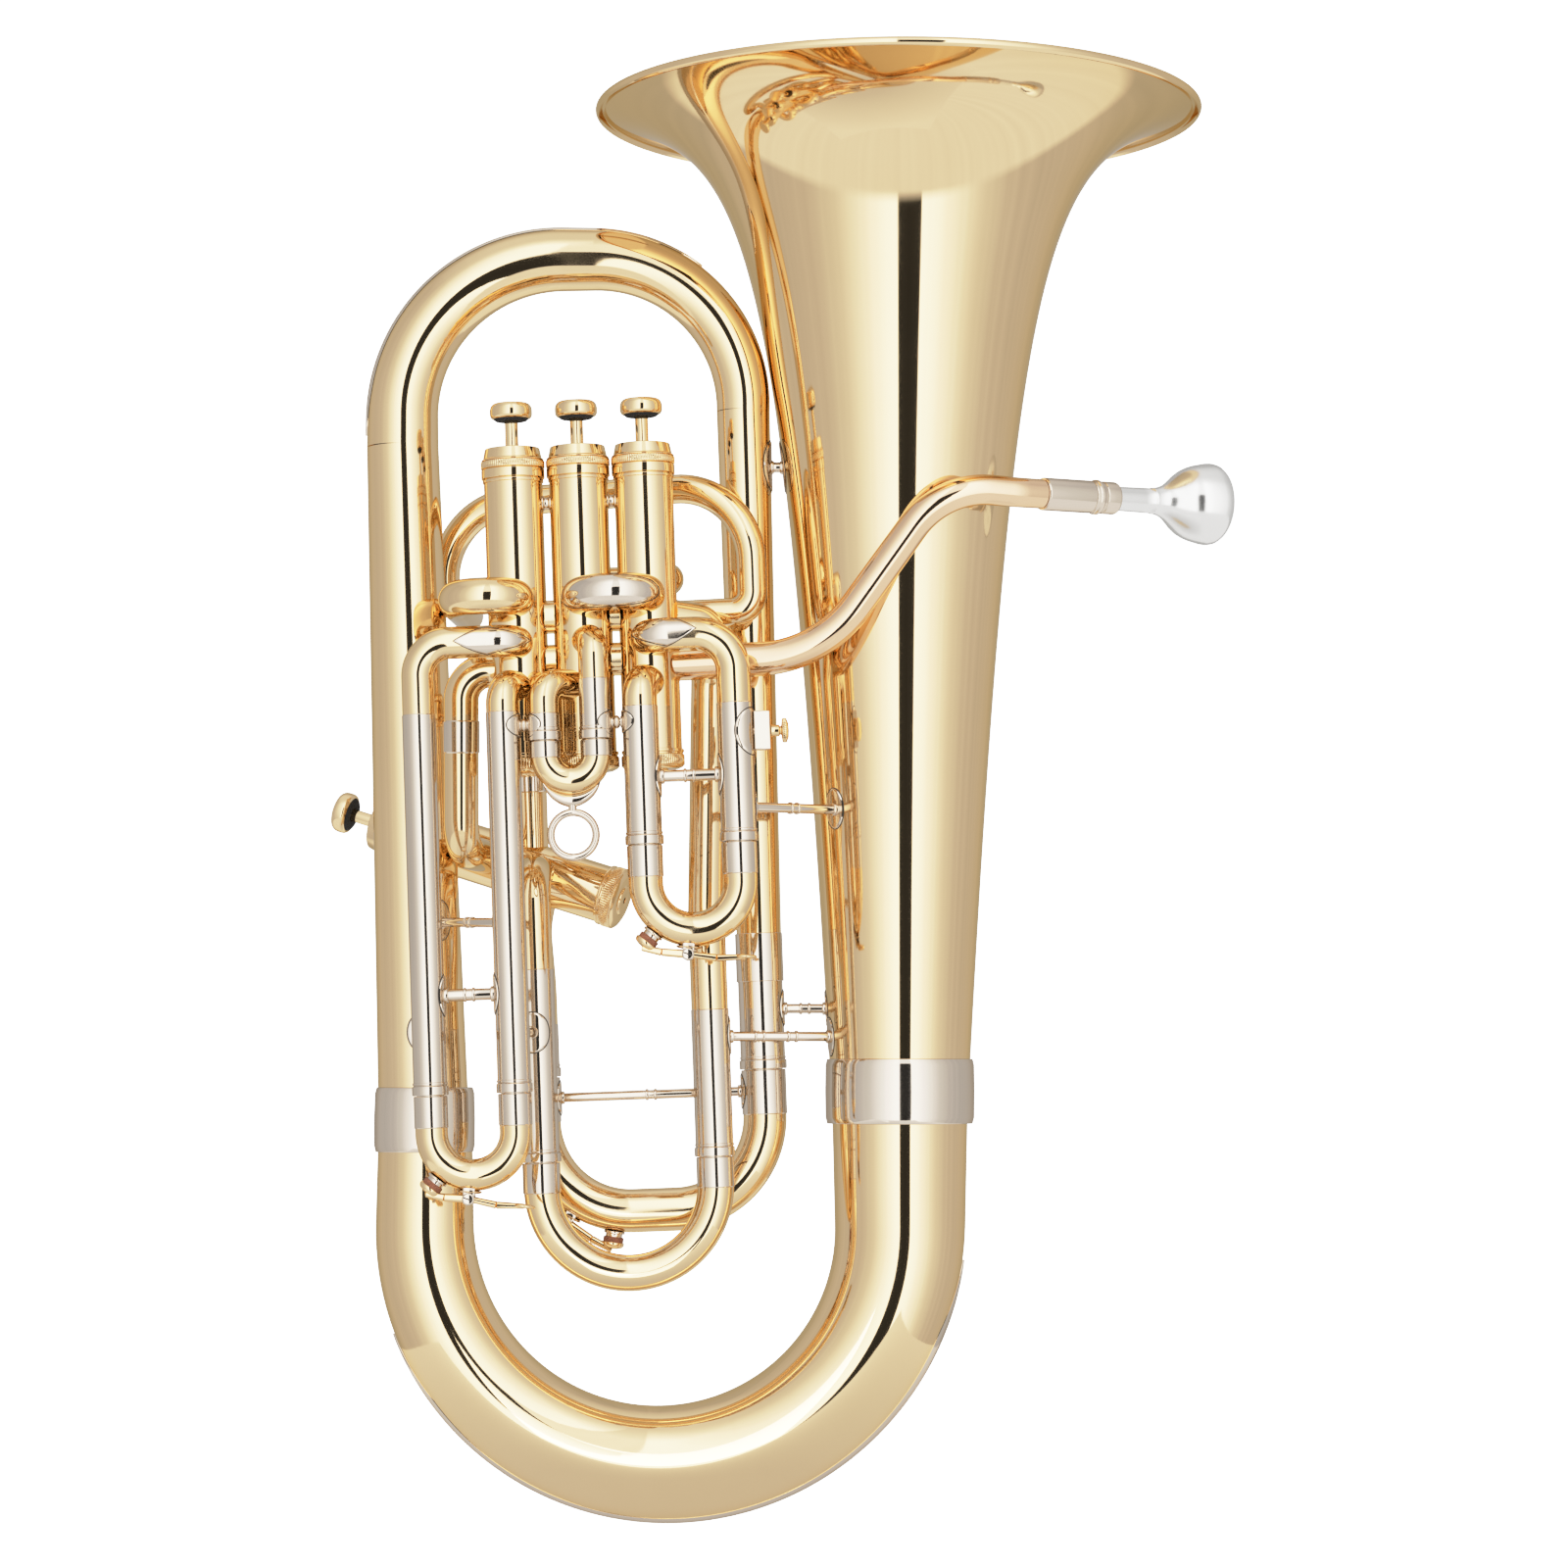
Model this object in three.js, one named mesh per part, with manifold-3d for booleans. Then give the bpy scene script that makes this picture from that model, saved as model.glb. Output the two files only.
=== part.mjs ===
// A four-valve compensating euphonium: bell, bows and branches, three front valves and a side valve,
// five tuning slides, three water keys, leadpipe and mouthpiece. Millimetres, +Z up, bell to the sky.
// The origin is the lowest point of the bottom bow; +X runs from the outer branch to the bell.
import * as THREE from "three";
import { mergeVertices } from "three/addons/utils/BufferGeometryUtils.js";
import Module from "manifold-3d";

const wasm = await Module();
wasm.setup();

// ---------------------------------------------------------------- driving dimensions

const GAP = 0.3; // between two pieces that touch
const WALL = 1.2; // drawn thickness of tube walls
const SIDES = 8; // flats round a tube
const VALVE_SIDES = 12;
const BELL_SIDES = 24;

// Main tubing, in the plane Y = 0.
const HALF_SPAN = 117.8; // bell axis and outer branch, either side of the origin
const BOW_CENTRE = 146.5; // height of the bottom bow's centre
const BOW_LEFT_R = 23.3;
const BOW_BELL_R = 34;
const BELL_FOOT = 212.5; // where bow and bell meet, inside their ferrule
const BRANCH_FOOT = 199;
const RIM_HEIGHT = 704.5; // where the flare meets its rim wire
const RIM_R = 149.9;
const RIM_WIRE_R = 2.6;
const BRANCH_TOP = 534;
const OUTER_FOOT_X = -118.6;
const OUTER_TOP_X = -131;
const INNER_FOOT_X = 47.8;
const INNER_TOP_X = 39.8;
const INNER_FOOT = 288;
const INNER_TOP = 552;
const TOP_BOW_HEIGHT = 629;

// The valve block leans a little to the left, and everything on it leans with it.
const LEAN = THREE.MathUtils.degToRad(2.1);
const BLOCK = { x: -39.6, z: 477.9 }; // a point on the middle valve's axis
const PITCH = 32; // between valve axes
const VALVE_Y = -42;
const CASING_R = 14.4;
const CASING_BORE = 13.1;
const CAP_R = 15.5;
const PISTON_R = 12.8;
const PORT_R = 6.4;
const FRONT_FOOT = -111; // the three front valves' bottom caps
const SIDE_FOOT = -87.4; // the side valve is shorter
const SLIDE_Y = -66.5; // slides 1 to 3 hang in front of the valves
const DEEP_SLIDE_Y = -22; // the fourth valve's slide hangs behind them

// ---------------------------------------------------------------- places and directions

const V = (x, y, z) => new THREE.Vector3(x, y, z);
const RIGHT = V(Math.cos(LEAN), 0, Math.sin(LEAN));
const UP = V(-Math.sin(LEAN), 0, Math.cos(LEAN));
const DOWN = UP.clone().negate();
const FRONT = V(0, -1, 0);
const BACK = V(0, 1, 0);

// A place on the valve block: across to the right of the middle valve, in depth, and up its axis.
function at(across, y, up) {
  const p = V(BLOCK.x, y, BLOCK.z);
  return p.addScaledVector(RIGHT, across).addScaledVector(UP, up);
}

const along = (start, direction, distance) => start.clone().addScaledVector(direction, distance);

// ---------------------------------------------------------------- solids

// A closed three.js geometry as a solid that can be joined and cut.
function solidOf(geometry) {
  const bare = geometry.clone();
  bare.deleteAttribute("normal");
  bare.deleteAttribute("uv");
  const merged = mergeVertices(bare, 1e-4);
  const corners = merged.index.array;
  const kept = [];
  for (let i = 0; i < corners.length; i += 3) {
    const [a, b, c] = [corners[i], corners[i + 1], corners[i + 2]];
    if (a !== b && b !== c && c !== a) kept.push(a, b, c);
  }
  const vertProperties = merged.attributes.position.array;
  const build = (order) => {
    const triVerts = new Uint32Array(order);
    return new wasm.Manifold(new wasm.Mesh({ numProp: 3, vertProperties, triVerts }));
  };
  const solid = build(kept);
  return solid.volume() > 0 ? solid : build(kept.toReversed());
}

function geometryOf(solid) {
  const mesh = solid.simplify(0.02).getMesh();
  const geometry = new THREE.BufferGeometry();
  geometry.setAttribute("position", new THREE.BufferAttribute(mesh.vertProperties, 3));
  geometry.setIndex(new THREE.BufferAttribute(mesh.triVerts, 1));
  return geometry;
}

const joined = (solids) => solids.reduce((whole, solid) => whole.add(solid));
const cutBy = (solid, cutters) => cutters.reduce((rest, cutter) => rest.subtract(cutter), solid);

// Two directions across a third, the first as near to the depth direction as it can be.
function crossFrame(direction) {
  const near = Math.abs(direction.y) > 0.9 ? V(1, 0, 0) : BACK;
  const n = near.clone().addScaledVector(direction, -near.dot(direction)).normalize();
  return { n, b: V(0, 0, 0).crossVectors(direction, n) };
}

// A body turned about an axis: its profile is a list of [radius, height].
function turned(profile, base, axis, sides = SIDES) {
  const points = profile.map(([r, h]) => new THREE.Vector2(r, h));
  if (profile[0][0] > 0 || profile.at(-1)[0] > 0) points.push(points[0].clone());
  const geometry = new THREE.LatheGeometry(points, sides);
  const { n, b } = crossFrame(axis);
  const matrix = new THREE.Matrix4().makeBasis(b, axis, n).setPosition(base);
  return solidOf(geometry.applyMatrix4(matrix));
}

function rod(start, end, r, sides = 8) {
  const axis = end.clone().sub(start);
  const length = axis.length();
  return turned([[0, 0], [r, 0], [r, length], [0, length]], start, axis.normalize(), sides);
}

function ring(start, axis, length, outer, inner, sides = SIDES) {
  return turned([[inner, 0], [outer, 0], [outer, length], [inner, length]], start, axis, sides);
}

// A route of straight runs with a round bend at each inner corner: a list of places and directions.
function route(corners, bends, stepDegrees = 36) {
  const stations = [];
  const add = (p, t) => {
    const last = stations.at(-1);
    if (last && last.p.distanceTo(p) < 0.05) return;
    stations.push({ p, t: t.clone() });
  };
  const heading = (i) => corners[i + 1].clone().sub(corners[i]).normalize();
  add(corners[0].clone(), heading(0));
  for (let i = 1; i < corners.length - 1; i += 1) {
    const [from, to] = [heading(i - 1), heading(i)];
    const turn = from.angleTo(to);
    const r = bends[i - 1];
    const start = along(corners[i], from, -r * Math.tan(turn / 2));
    const inward = to.clone().addScaledVector(from, -from.dot(to)).normalize();
    const centre = along(start, inward, r);
    const steps = Math.max(1, Math.ceil(THREE.MathUtils.radToDeg(turn) / stepDegrees));
    for (let k = 0; k <= steps; k += 1) {
      const [c, s] = [Math.cos((turn * k) / steps), Math.sin((turn * k) / steps)];
      const t = from.clone().multiplyScalar(c).addScaledVector(inward, s);
      add(along(along(centre, from, r * s), inward, -r * c), t);
    }
  }
  add(corners.at(-1).clone(), heading(corners.length - 2));
  return stations;
}

function lengthOf(stations) {
  return stations.slice(1).reduce((sum, s, i) => sum + s.p.distanceTo(stations[i].p), 0);
}

// The same route with a station at each wanted distance from its start.
function divided(stations, wanted) {
  const out = [];
  let gone = 0;
  stations.forEach((station, i) => {
    if (i > 0) {
      const before = stations[i - 1];
      const span = station.p.distanceTo(before.p);
      const inside = wanted.filter((d) => d > gone + 0.01 && d < gone + span - 0.01);
      for (const d of [...new Set(inside)].sort((a, b) => a - b)) {
        const f = (d - gone) / span;
        out.push({ p: before.p.clone().lerp(station.p, f), t: before.t.clone().lerp(station.t, f).normalize(), d });
      }
      gone += span;
    }
    out.push({ ...station, d: gone });
  });
  return out;
}

// The widths at a distance, from marks of [distance, outer, inner]: two where the width steps.
function widthsAt(marks, d, column) {
  const here = marks.filter((m) => Math.abs(m[0] - d) < 0.02);
  if (here.length) return here.map((m) => m[column]);
  const after = marks.findIndex((m) => m[0] > d);
  if (after === 0) return [marks[0][column]];
  if (after < 0) return [marks.at(-1)[column]];
  const [a, b] = [marks[after - 1], marks[after]];
  return [a[column] + ((b[column] - a[column]) * (d - a[0])) / (b[0] - a[0])];
}

// A hollow body along a route: a turned ring profile, bent so that its axis follows the route.
function pipe(stations, marks, sides = SIDES) {
  const stops = divided(stations, marks.map((m) => m[0]));
  const points = [];
  stops.forEach((s, i) => widthsAt(marks, s.d, 1).forEach((r) => points.push(new THREE.Vector2(r, i))));
  const solid = marks[0][2] === 0;
  if (solid) {
    points.unshift(new THREE.Vector2(0, 0));
    points.push(new THREE.Vector2(0, stops.length - 1));
  } else {
    stops.toReversed().forEach((s, i) => {
      const widths = widthsAt(marks, s.d, 2).toReversed();
      widths.forEach((r) => points.push(new THREE.Vector2(r, stops.length - 1 - i)));
    });
    points.push(points[0].clone());
  }
  const frames = [crossFrame(stops[0].t)];
  for (let i = 1; i < stops.length; i += 1) {
    const turn = new THREE.Quaternion().setFromUnitVectors(stops[i - 1].t, stops[i].t);
    const { n, b } = frames[i - 1];
    frames.push({ n: n.clone().applyQuaternion(turn), b: b.clone().applyQuaternion(turn) });
  }
  const geometry = new THREE.LatheGeometry(points, sides);
  const position = geometry.attributes.position;
  for (let k = 0; k < position.count; k += 1) {
    const i = Math.round(position.getY(k));
    const p = stops[i].p.clone().addScaledVector(frames[i].b, position.getX(k));
    p.addScaledVector(frames[i].n, position.getZ(k));
    position.setXYZ(k, p.x, p.y, p.z);
  }
  return solidOf(geometry);
}

// A pipe whose width changes evenly from one end to the other.
function taper(stations, from, to, sides = SIDES, wall = WALL) {
  return pipe(stations, [[0, from, from - wall], [lengthOf(stations), to, to - wall]], sides);
}

// An oval plate that wraps a tube where a brace meets it: `axis` runs along the tube, `out` along the brace.
function plate({ centre, axis, r, shell, long = 10, wide = 6.5 }, out) {
  const oval = new THREE.Shape().absellipse(0, 0, wide, long, 0, 2 * Math.PI);
  const prism = new THREE.ExtrudeGeometry(oval, { depth: r + 3, curveSegments: 3, bevelEnabled: false });
  const side = V(0, 0, 0).crossVectors(axis, out);
  const matrix = new THREE.Matrix4().makeBasis(side, axis, out).setPosition(centre);
  return shell.intersect(solidOf(prism.applyMatrix4(matrix)));
}

const PLATE_TOP = 1.3; // how far a brace's plate stands out from a tube

// A brace: a round post with a bead at its middle, which grows out of its own tube and ends in an oval
// plate on the next one.
function brace(from, to, postR = 2.9) {
  const line = to.centre.clone().sub(from.centre);
  const out = line.clone().normalize();
  const [start, end] = [along(from.centre, out, from.r - 1), along(to.centre, out, -to.r - to.stand)];
  const middle = start.clone().lerp(end, 0.5);
  const parts = [rod(start, end, postR)];
  parts.push(rod(along(middle, out, -1.5), along(middle, out, 1.5), postR + 0.6));
  if (to.shell) {
    const square = to.axis.clone().multiplyScalar(out.dot(to.axis)).sub(out).normalize();
    parts.push(plate(to, square));
  }
  return joined(parts);
}

// ---------------------------------------------------------------- finishes

const FINISHES = {
  lacquer: { color: 0xe3c17a, roughness: 0.1, metalness: 1 },
  nickel: { color: 0xd9d4cb, roughness: 0.12, metalness: 1 },
  rose: { color: 0xdcae84, roughness: 0.12, metalness: 1 },
  silver: { color: 0xe6e4e0, roughness: 0.08, metalness: 1 },
  steel: { color: 0xb9bcc0, roughness: 0.3, metalness: 1 },
  monel: { color: 0xc4c0b8, roughness: 0.25, metalness: 1 },
};

const euphonium = new THREE.Group();

function piece(name, solid, finish) {
  const mesh = new THREE.Mesh(geometryOf(solid), new THREE.MeshStandardMaterial(FINISHES[finish]));
  mesh.name = name;
  euphonium.add(mesh);
}

// ---------------------------------------------------------------- bell, bows and branches

const BELL_AXIS = V(0, 0, 1);
const BELL_STEPS = 9;

// The flare: a slow cone with a curve that runs away as it nears the rim.
function bellRadius(z) {
  return -1.24 + 0.0299 * (z - 196) + 332.4 * (RIM_HEIGHT - z + 12) ** -0.3619;
}

// Heights that crowd towards the rim, each with the flare's radius there.
const bellOutline = Array.from({ length: BELL_STEPS + 1 }, (_, i) => {
  const z = BELL_FOOT + (RIM_HEIGHT - BELL_FOOT) * (1 - (1 - i / BELL_STEPS) ** 2.3);
  return [bellRadius(z), z];
});

// The radius of the bell's faceted skin at a height.
function bellSkin(z) {
  const i = bellOutline.findIndex((point) => point[1] > z);
  const [[r0, z0], [r1, z1]] = [bellOutline[i - 1], bellOutline[i]];
  return r0 + ((r1 - r0) * (z - z0)) / (z1 - z0);
}

function bell() {
  const inside = bellOutline.map(([r, z]) => [r - WALL, z]).toReversed();
  const top = RIM_HEIGHT + 1.9;
  const bead = [[RIM_R + 2, RIM_HEIGHT - 1.8], [RIM_R + RIM_WIRE_R, RIM_HEIGHT + 0.4]];
  const flat = [[RIM_R + 1.2, top], [RIM_R - 1.6, top]];
  inside[0] = [RIM_R - 2.6, RIM_HEIGHT + 0.8];
  return turned([...bellOutline, ...bead, ...flat, ...inside], V(HALF_SPAN, 0, 0), BELL_AXIS, BELL_SIDES);
}

function barrel(base, axis, length, outer, inner, sides = 24) {
  const bulge = outer + 0.5;
  const profile = [[inner, 0], [outer, 0], [bulge, length * 0.3], [bulge, length * 0.7], [outer, length]];
  return turned([...profile, [inner, length]], base, axis, sides);
}

const outerLean = V(OUTER_TOP_X - OUTER_FOOT_X, 0, BRANCH_TOP - BRANCH_FOOT).normalize();
const bowRoute = route(
  [
    V(-HALF_SPAN, 0, BRANCH_FOOT - 4 * GAP),
    V(-HALF_SPAN, 0, BOW_CENTRE - HALF_SPAN),
    V(HALF_SPAN, 0, BOW_CENTRE - HALF_SPAN),
    V(HALF_SPAN, 0, BELL_FOOT - GAP),
  ],
  [HALF_SPAN, HALF_SPAN],
  18,
);

// A guard strip lies along the outside of a bow: a wide shell, cut to the part of the bow it covers.
function guard(stations, from, to, sides, keep) {
  const total = lengthOf(stations);
  const marks = [[0, from + 1.1, from + GAP], [total, to + 1.1, to + GAP]];
  return pipe(stations, marks, sides).intersect(keep);
}

// An upright wedge behind and before the bow, from the bow's own centre outwards.
function outsideOf(outline) {
  const shape = new THREE.Shape(outline.map(([x, z]) => new THREE.Vector2(x, z)));
  const prism = new THREE.ExtrudeGeometry(shape, { depth: 34, bevelEnabled: false });
  prism.applyMatrix4(new THREE.Matrix4().makeBasis(V(1, 0, 0), V(0, 0, 1), BACK));
  return solidOf(prism.translate(0, -17, 0));
}

function crescent(centre, inner, outer, startDegrees, endDegrees, steps) {
  const outline = [];
  const put = (r, i) => {
    const a = THREE.MathUtils.degToRad(startDegrees + ((endDegrees - startDegrees) * i) / steps);
    outline.push([centre[0] + r * Math.cos(a), centre[1] + r * Math.sin(a)]);
  };
  for (let i = 0; i <= steps; i += 1) put(outer, i);
  for (let i = steps; i >= 0; i -= 1) put(inner, i);
  return outsideOf(outline);
}

const TOP_BOW_LEFT_BEND = 80;
const TOP_BOW_RIGHT_BEND = 74.5;
const topBowRoute = route(
  [
    V(OUTER_TOP_X, 0, BRANCH_TOP + 3 * GAP),
    V(OUTER_TOP_X, 0, TOP_BOW_HEIGHT),
    V(INNER_TOP_X, 0, TOP_BOW_HEIGHT),
    V(INNER_TOP_X, 0, INNER_TOP + 3 * GAP),
  ],
  [TOP_BOW_LEFT_BEND, TOP_BOW_RIGHT_BEND],
  30,
);

const innerLean = V(INNER_TOP_X - INNER_FOOT_X, 0, INNER_TOP - INNER_FOOT).normalize();
const innerFoot = V(INNER_FOOT_X, 0, INNER_FOOT);
const innerAt = (z) => along(innerFoot, innerLean, (z - INNER_FOOT) / innerLean.z);

// What a brace of another piece needs to know to stand just clear of a tube's skin.
function clearOf(radiusAt, base, axis, height, sides, long = 10, wide = 7) {
  const [low, high] = [height - long, height + long];
  const profile = [
    [radiusAt(low) + GAP, low], [radiusAt(low) + PLATE_TOP, low],
    [radiusAt(high) + PLATE_TOP, high], [radiusAt(high) + GAP, high],
  ];
  const shell = turned(profile, base, axis, sides);
  return { centre: along(base, axis, height), axis, r: radiusAt(height), shell, stand: 0.7, long, wide };
}

const bellAt = (z, long, wide) => clearOf(bellSkin, V(HALF_SPAN, 0, 0), BELL_AXIS, z, BELL_SIDES, long, wide);

const OUTER_SIDES = 16;
const OUTER_FOOT_R = 22.4;
const OUTER_TOP_R = 17.9;
const outerFoot = V(OUTER_FOOT_X, 0, BRANCH_FOOT);
const outerLength = V(OUTER_TOP_X, 0, BRANCH_TOP).distanceTo(outerFoot);
const outerSkin = (h) => OUTER_FOOT_R + ((OUTER_TOP_R - OUTER_FOOT_R) * h) / outerLength;

function innerBranch() {
  const tube = taper([{ p: innerFoot, t: innerLean }, { p: innerAt(INNER_TOP), t: innerLean }], 11.1, 13.3, 16);
  const centre = innerAt(524);
  const from = { centre, r: 13 };
  return tube.add(brace(from, bellAt(524, 8), 2.6));
}

function mainTubing() {
  const bellFerrule = barrel(V(HALF_SPAN, 0, 196), BELL_AXIS, 32, 36.4, 35.4, BELL_SIDES);
  const branchFerrule = barrel(V(-HALF_SPAN - 0.6, 0, 182), BELL_AXIS, 32, 24.9, 23.3 + 3 * GAP, 16);
  const outerRoute = [{ p: outerFoot, t: outerLean }, { p: along(outerFoot, outerLean, outerLength), t: outerLean }];
  const bottomCentre = [0, BOW_CENTRE];
  piece("bell", bell(), "lacquer");
  piece("bell_ferrule", bellFerrule, "nickel");
  piece("bottom_bow", taper(bowRoute, BOW_LEFT_R - 0.3, BOW_BELL_R - 0.2, 16), "lacquer");
  const bottomKeep = crescent(bottomCentre, HALF_SPAN + 14, HALF_SPAN + 44, 188, 352, 10);
  piece("bottom_bow_guard", guard(bowRoute, BOW_LEFT_R - 0.3, BOW_BELL_R - 0.2, 16, bottomKeep), "lacquer");
  piece("branch_ferrule", branchFerrule, "nickel");
  piece("outer_branch", taper(outerRoute, OUTER_FOOT_R, OUTER_TOP_R, OUTER_SIDES), "lacquer");
  piece("top_bow", taper(topBowRoute, 17.8, 13.4, 14), "lacquer");
  const topCentre = [OUTER_TOP_X + TOP_BOW_LEFT_BEND, TOP_BOW_HEIGHT - TOP_BOW_LEFT_BEND];
  const topKeep = crescent(topCentre, TOP_BOW_LEFT_BEND + 7, TOP_BOW_LEFT_BEND + 30, 92, 160, 6);
  piece("top_bow_guard", guard(topBowRoute, 17.8, 13.4, 14, topKeep), "lacquer");
  piece("inner_branch", innerBranch(), "lacquer");
}

// ---------------------------------------------------------------- valves

const frontValves = [1, 2, 3].map((number) => ({
  number,
  origin: at(PITCH * (2 - number), VALVE_Y, 0),
  up: UP,
  foot: FRONT_FOOT,
  ports: [],
}));
const [valve1, valve2, valve3] = frontValves;
const valve4 = {
  number: 4,
  origin: V(-100.1, 32.4, 333),
  up: V(-0.9228, 0.2447, 0.2967).normalize(),
  foot: SIDE_FOOT,
  ports: [],
};

// Heights on the front valves where tubes join them.
const UPPER_LOOP = -25;
const UPPER_KNUCKLE = -46.5;
const LOWER_KNUCKLE = -67.8;
const RETURN_PORT = -35.5;
const LEADPIPE_PORT = -58.2;
const LINK_PORTS = [-33.2, -55];
const ARCH_PORT = -31.8;
const REAR_LOOP = -14.2;
const INLET_PORT = -58; // where the tube to the side valve leaves the third
const OUTLET_PORT = -70; // and where its return comes back

valve1.ports = [
  [UPPER_LOOP, FRONT], [UPPER_KNUCKLE, FRONT], [LOWER_KNUCKLE, FRONT],
  [RETURN_PORT, RIGHT], [LEADPIPE_PORT, RIGHT], [ARCH_PORT, BACK], [REAR_LOOP, BACK],
];
valve2.ports = [[UPPER_LOOP, FRONT], [UPPER_KNUCKLE, FRONT], [LOWER_KNUCKLE, FRONT], [REAR_LOOP, BACK]];
valve3.ports = [
  [UPPER_LOOP, FRONT], [UPPER_KNUCKLE, FRONT], [LOWER_KNUCKLE, FRONT],
  [INLET_PORT, RIGHT.clone().negate()], [OUTLET_PORT, BACK],
];
for (const height of LINK_PORTS) {
  valve1.ports.push([height, RIGHT.clone().negate()]);
  valve2.ports.push([height, RIGHT], [height, RIGHT.clone().negate()]);
  valve3.ports.push([height, RIGHT]);
}
const SIDE_INLET = -16;
const SIDE_OUTLET = -42;
const SIDE_RETURN = -33;
const sideDown = V(0, 0, -1).addScaledVector(valve4.up, valve4.up.z).normalize();
const sideFront = FRONT.clone().addScaledVector(valve4.up, valve4.up.y).normalize();
valve4.ports = [
  [SIDE_INLET, sideFront], [SIDE_OUTLET, sideFront], [SIDE_OUTLET, sideDown],
  [SIDE_RETURN, sideDown.clone().negate()],
];

const valveAt = (valve, height) => along(valve.origin, valve.up, height);

// A solid the size of a casing, to trim a tube that meets the casing.
function casingCutter(valve) {
  return rod(valveAt(valve, valve.foot - 5), valveAt(valve, 60), CASING_R + GAP, VALVE_SIDES);
}

function casing(valve) {
  const foot = valve.foot + 5;
  const tube = ring(valveAt(valve, foot), valve.up, 44 - foot, CASING_R, CASING_BORE, VALVE_SIDES);
  const holes = valve.ports.map(([height, way]) => {
    const centre = valveAt(valve, height);
    return rod(centre, along(centre, way, CASING_R + 3), PORT_R, 6);
  });
  return cutBy(tube, holes);
}

function topCap(valve) {
  const skirt = [[CASING_R + GAP, 35.4], [CAP_R, 35.4], [CAP_R, 44.6], [14.4, 45.2], [13.3, 50.4]];
  const boss = [[8.8, 50.4], [3.7, 50.4], [3.7, 46.4], [CASING_R + GAP, 44.3]];
  return turned([...skirt, ...boss], valve.origin, valve.up, VALVE_SIDES);
}

function bottomCap(valve) {
  const f = valve.foot;
  const outside = [[1.6, f], [12.4, f], [CAP_R, f + 1.4], [CAP_R, f + 10.5], [CASING_R + GAP, f + 10.5]];
  const inside = [[CASING_R + GAP, f + 4.6], [12.6, f + 4.6], [12.6, f + 2.8], [1.6, f + 2.8]];
  return turned([...outside, ...inside], valve.origin, valve.up, VALVE_SIDES);
}

const STEM_TOP = 64.8;
const PISTON_TOP = 20;

function piston(valve) {
  const foot = valve.foot + 33;
  const pocket = [[0, foot + 8], [10.4, foot + 8], [10.4, foot], [PISTON_R, foot], [PISTON_R, PISTON_TOP]];
  const stem = [[4.6, PISTON_TOP + 2], [3, PISTON_TOP + 2], [3, STEM_TOP], [0, STEM_TOP]];
  const body = turned([...pocket, ...stem], valve.origin, valve.up, VALVE_SIDES);
  const across = valve === valve4 ? sideFront : FRONT;
  const side = V(0, 0, 0).crossVectors(valve.up, across);
  const heights = valve === valve4 ? [SIDE_INLET, -36] : [UPPER_LOOP, UPPER_KNUCKLE + 2];
  const passages = heights.map((height, i) => {
    const centre = valveAt(valve, height);
    const way = i === 0 ? across : side;
    return rod(along(centre, way, -PISTON_R - 3), along(centre, way, PISTON_R + 3), PORT_R, 6);
  });
  return cutBy(body, passages);
}

function button(valve) {
  const foot = STEM_TOP + GAP;
  const profile = [[0, 0], [6.8, 0], [10.4, 2.4], [10.4, 6], [8.2, 8.2], [0, 8.2]];
  return turned(profile, valveAt(valve, foot), valve.up, VALVE_SIDES);
}

// The return spring under each piston, a round wire in a square-sided section.
function spring(valve) {
  const turns = 4;
  const stepsPerTurn = 6;
  const coilR = 9;
  const [bottom, top] = [valve.foot + 4.2, valve.foot + 39.6];
  const { n, b } = crossFrame(valve.up);
  const stations = [];
  const steps = turns * stepsPerTurn;
  for (let i = 0; i <= steps; i += 1) {
    const a = (2 * Math.PI * i) / stepsPerTurn;
    const p = valveAt(valve, bottom + ((top - bottom) * i) / steps);
    p.addScaledVector(n, coilR * Math.cos(a)).addScaledVector(b, coilR * Math.sin(a));
    const t = n.clone().multiplyScalar(-Math.sin(a)).addScaledVector(b, Math.cos(a));
    stations.push({ p, t: t.addScaledVector(valve.up, 0.1).normalize() });
  }
  return pipe(stations, [[0, 0.8, 0], [lengthOf(stations), 0.8, 0]], 4);
}

// The short tubes that join the middle valve to its neighbours are part of its casing.
function linkedCasing() {
  const links = [];
  for (const side of [1, -1]) {
    const way = RIGHT.clone().multiplyScalar(side);
    for (const height of LINK_PORTS) {
      const start = along(valveAt(valve2, height), way, CASING_R - 0.8);
      links.push(ring(start, way, PITCH - CASING_R, 8.4, 7));
    }
    const top = valveAt(valve2, 21);
    links.push(rod(along(top, way, CASING_R - 0.6), along(top, way, PITCH), 2.4, 8));
  }
  return joined([casing(valve2), ...links]);
}

function valves() {
  for (const valve of [...frontValves, valve4]) {
    const n = valve.number;
    const shell = valve === valve2 ? cutBy(linkedCasing(), [casingCutter(valve1), casingCutter(valve3)]) : casing(valve);
    piece(`valve_casing_${n}`, shell, "lacquer");
    piece(`top_cap_${n}`, topCap(valve), "lacquer");
    piece(`bottom_cap_${n}`, bottomCap(valve), "lacquer");
    piece(`piston_${n}`, piston(valve), "monel");
    piece(`finger_button_${n}`, button(valve), "lacquer");
    piece(`valve_spring_${n}`, spring(valve), "steel");
  }
}

// ---------------------------------------------------------------- tuning slides

const SLEEVE_WALL = 1.2;
const RUNNING_GAP = 0.3;

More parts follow.
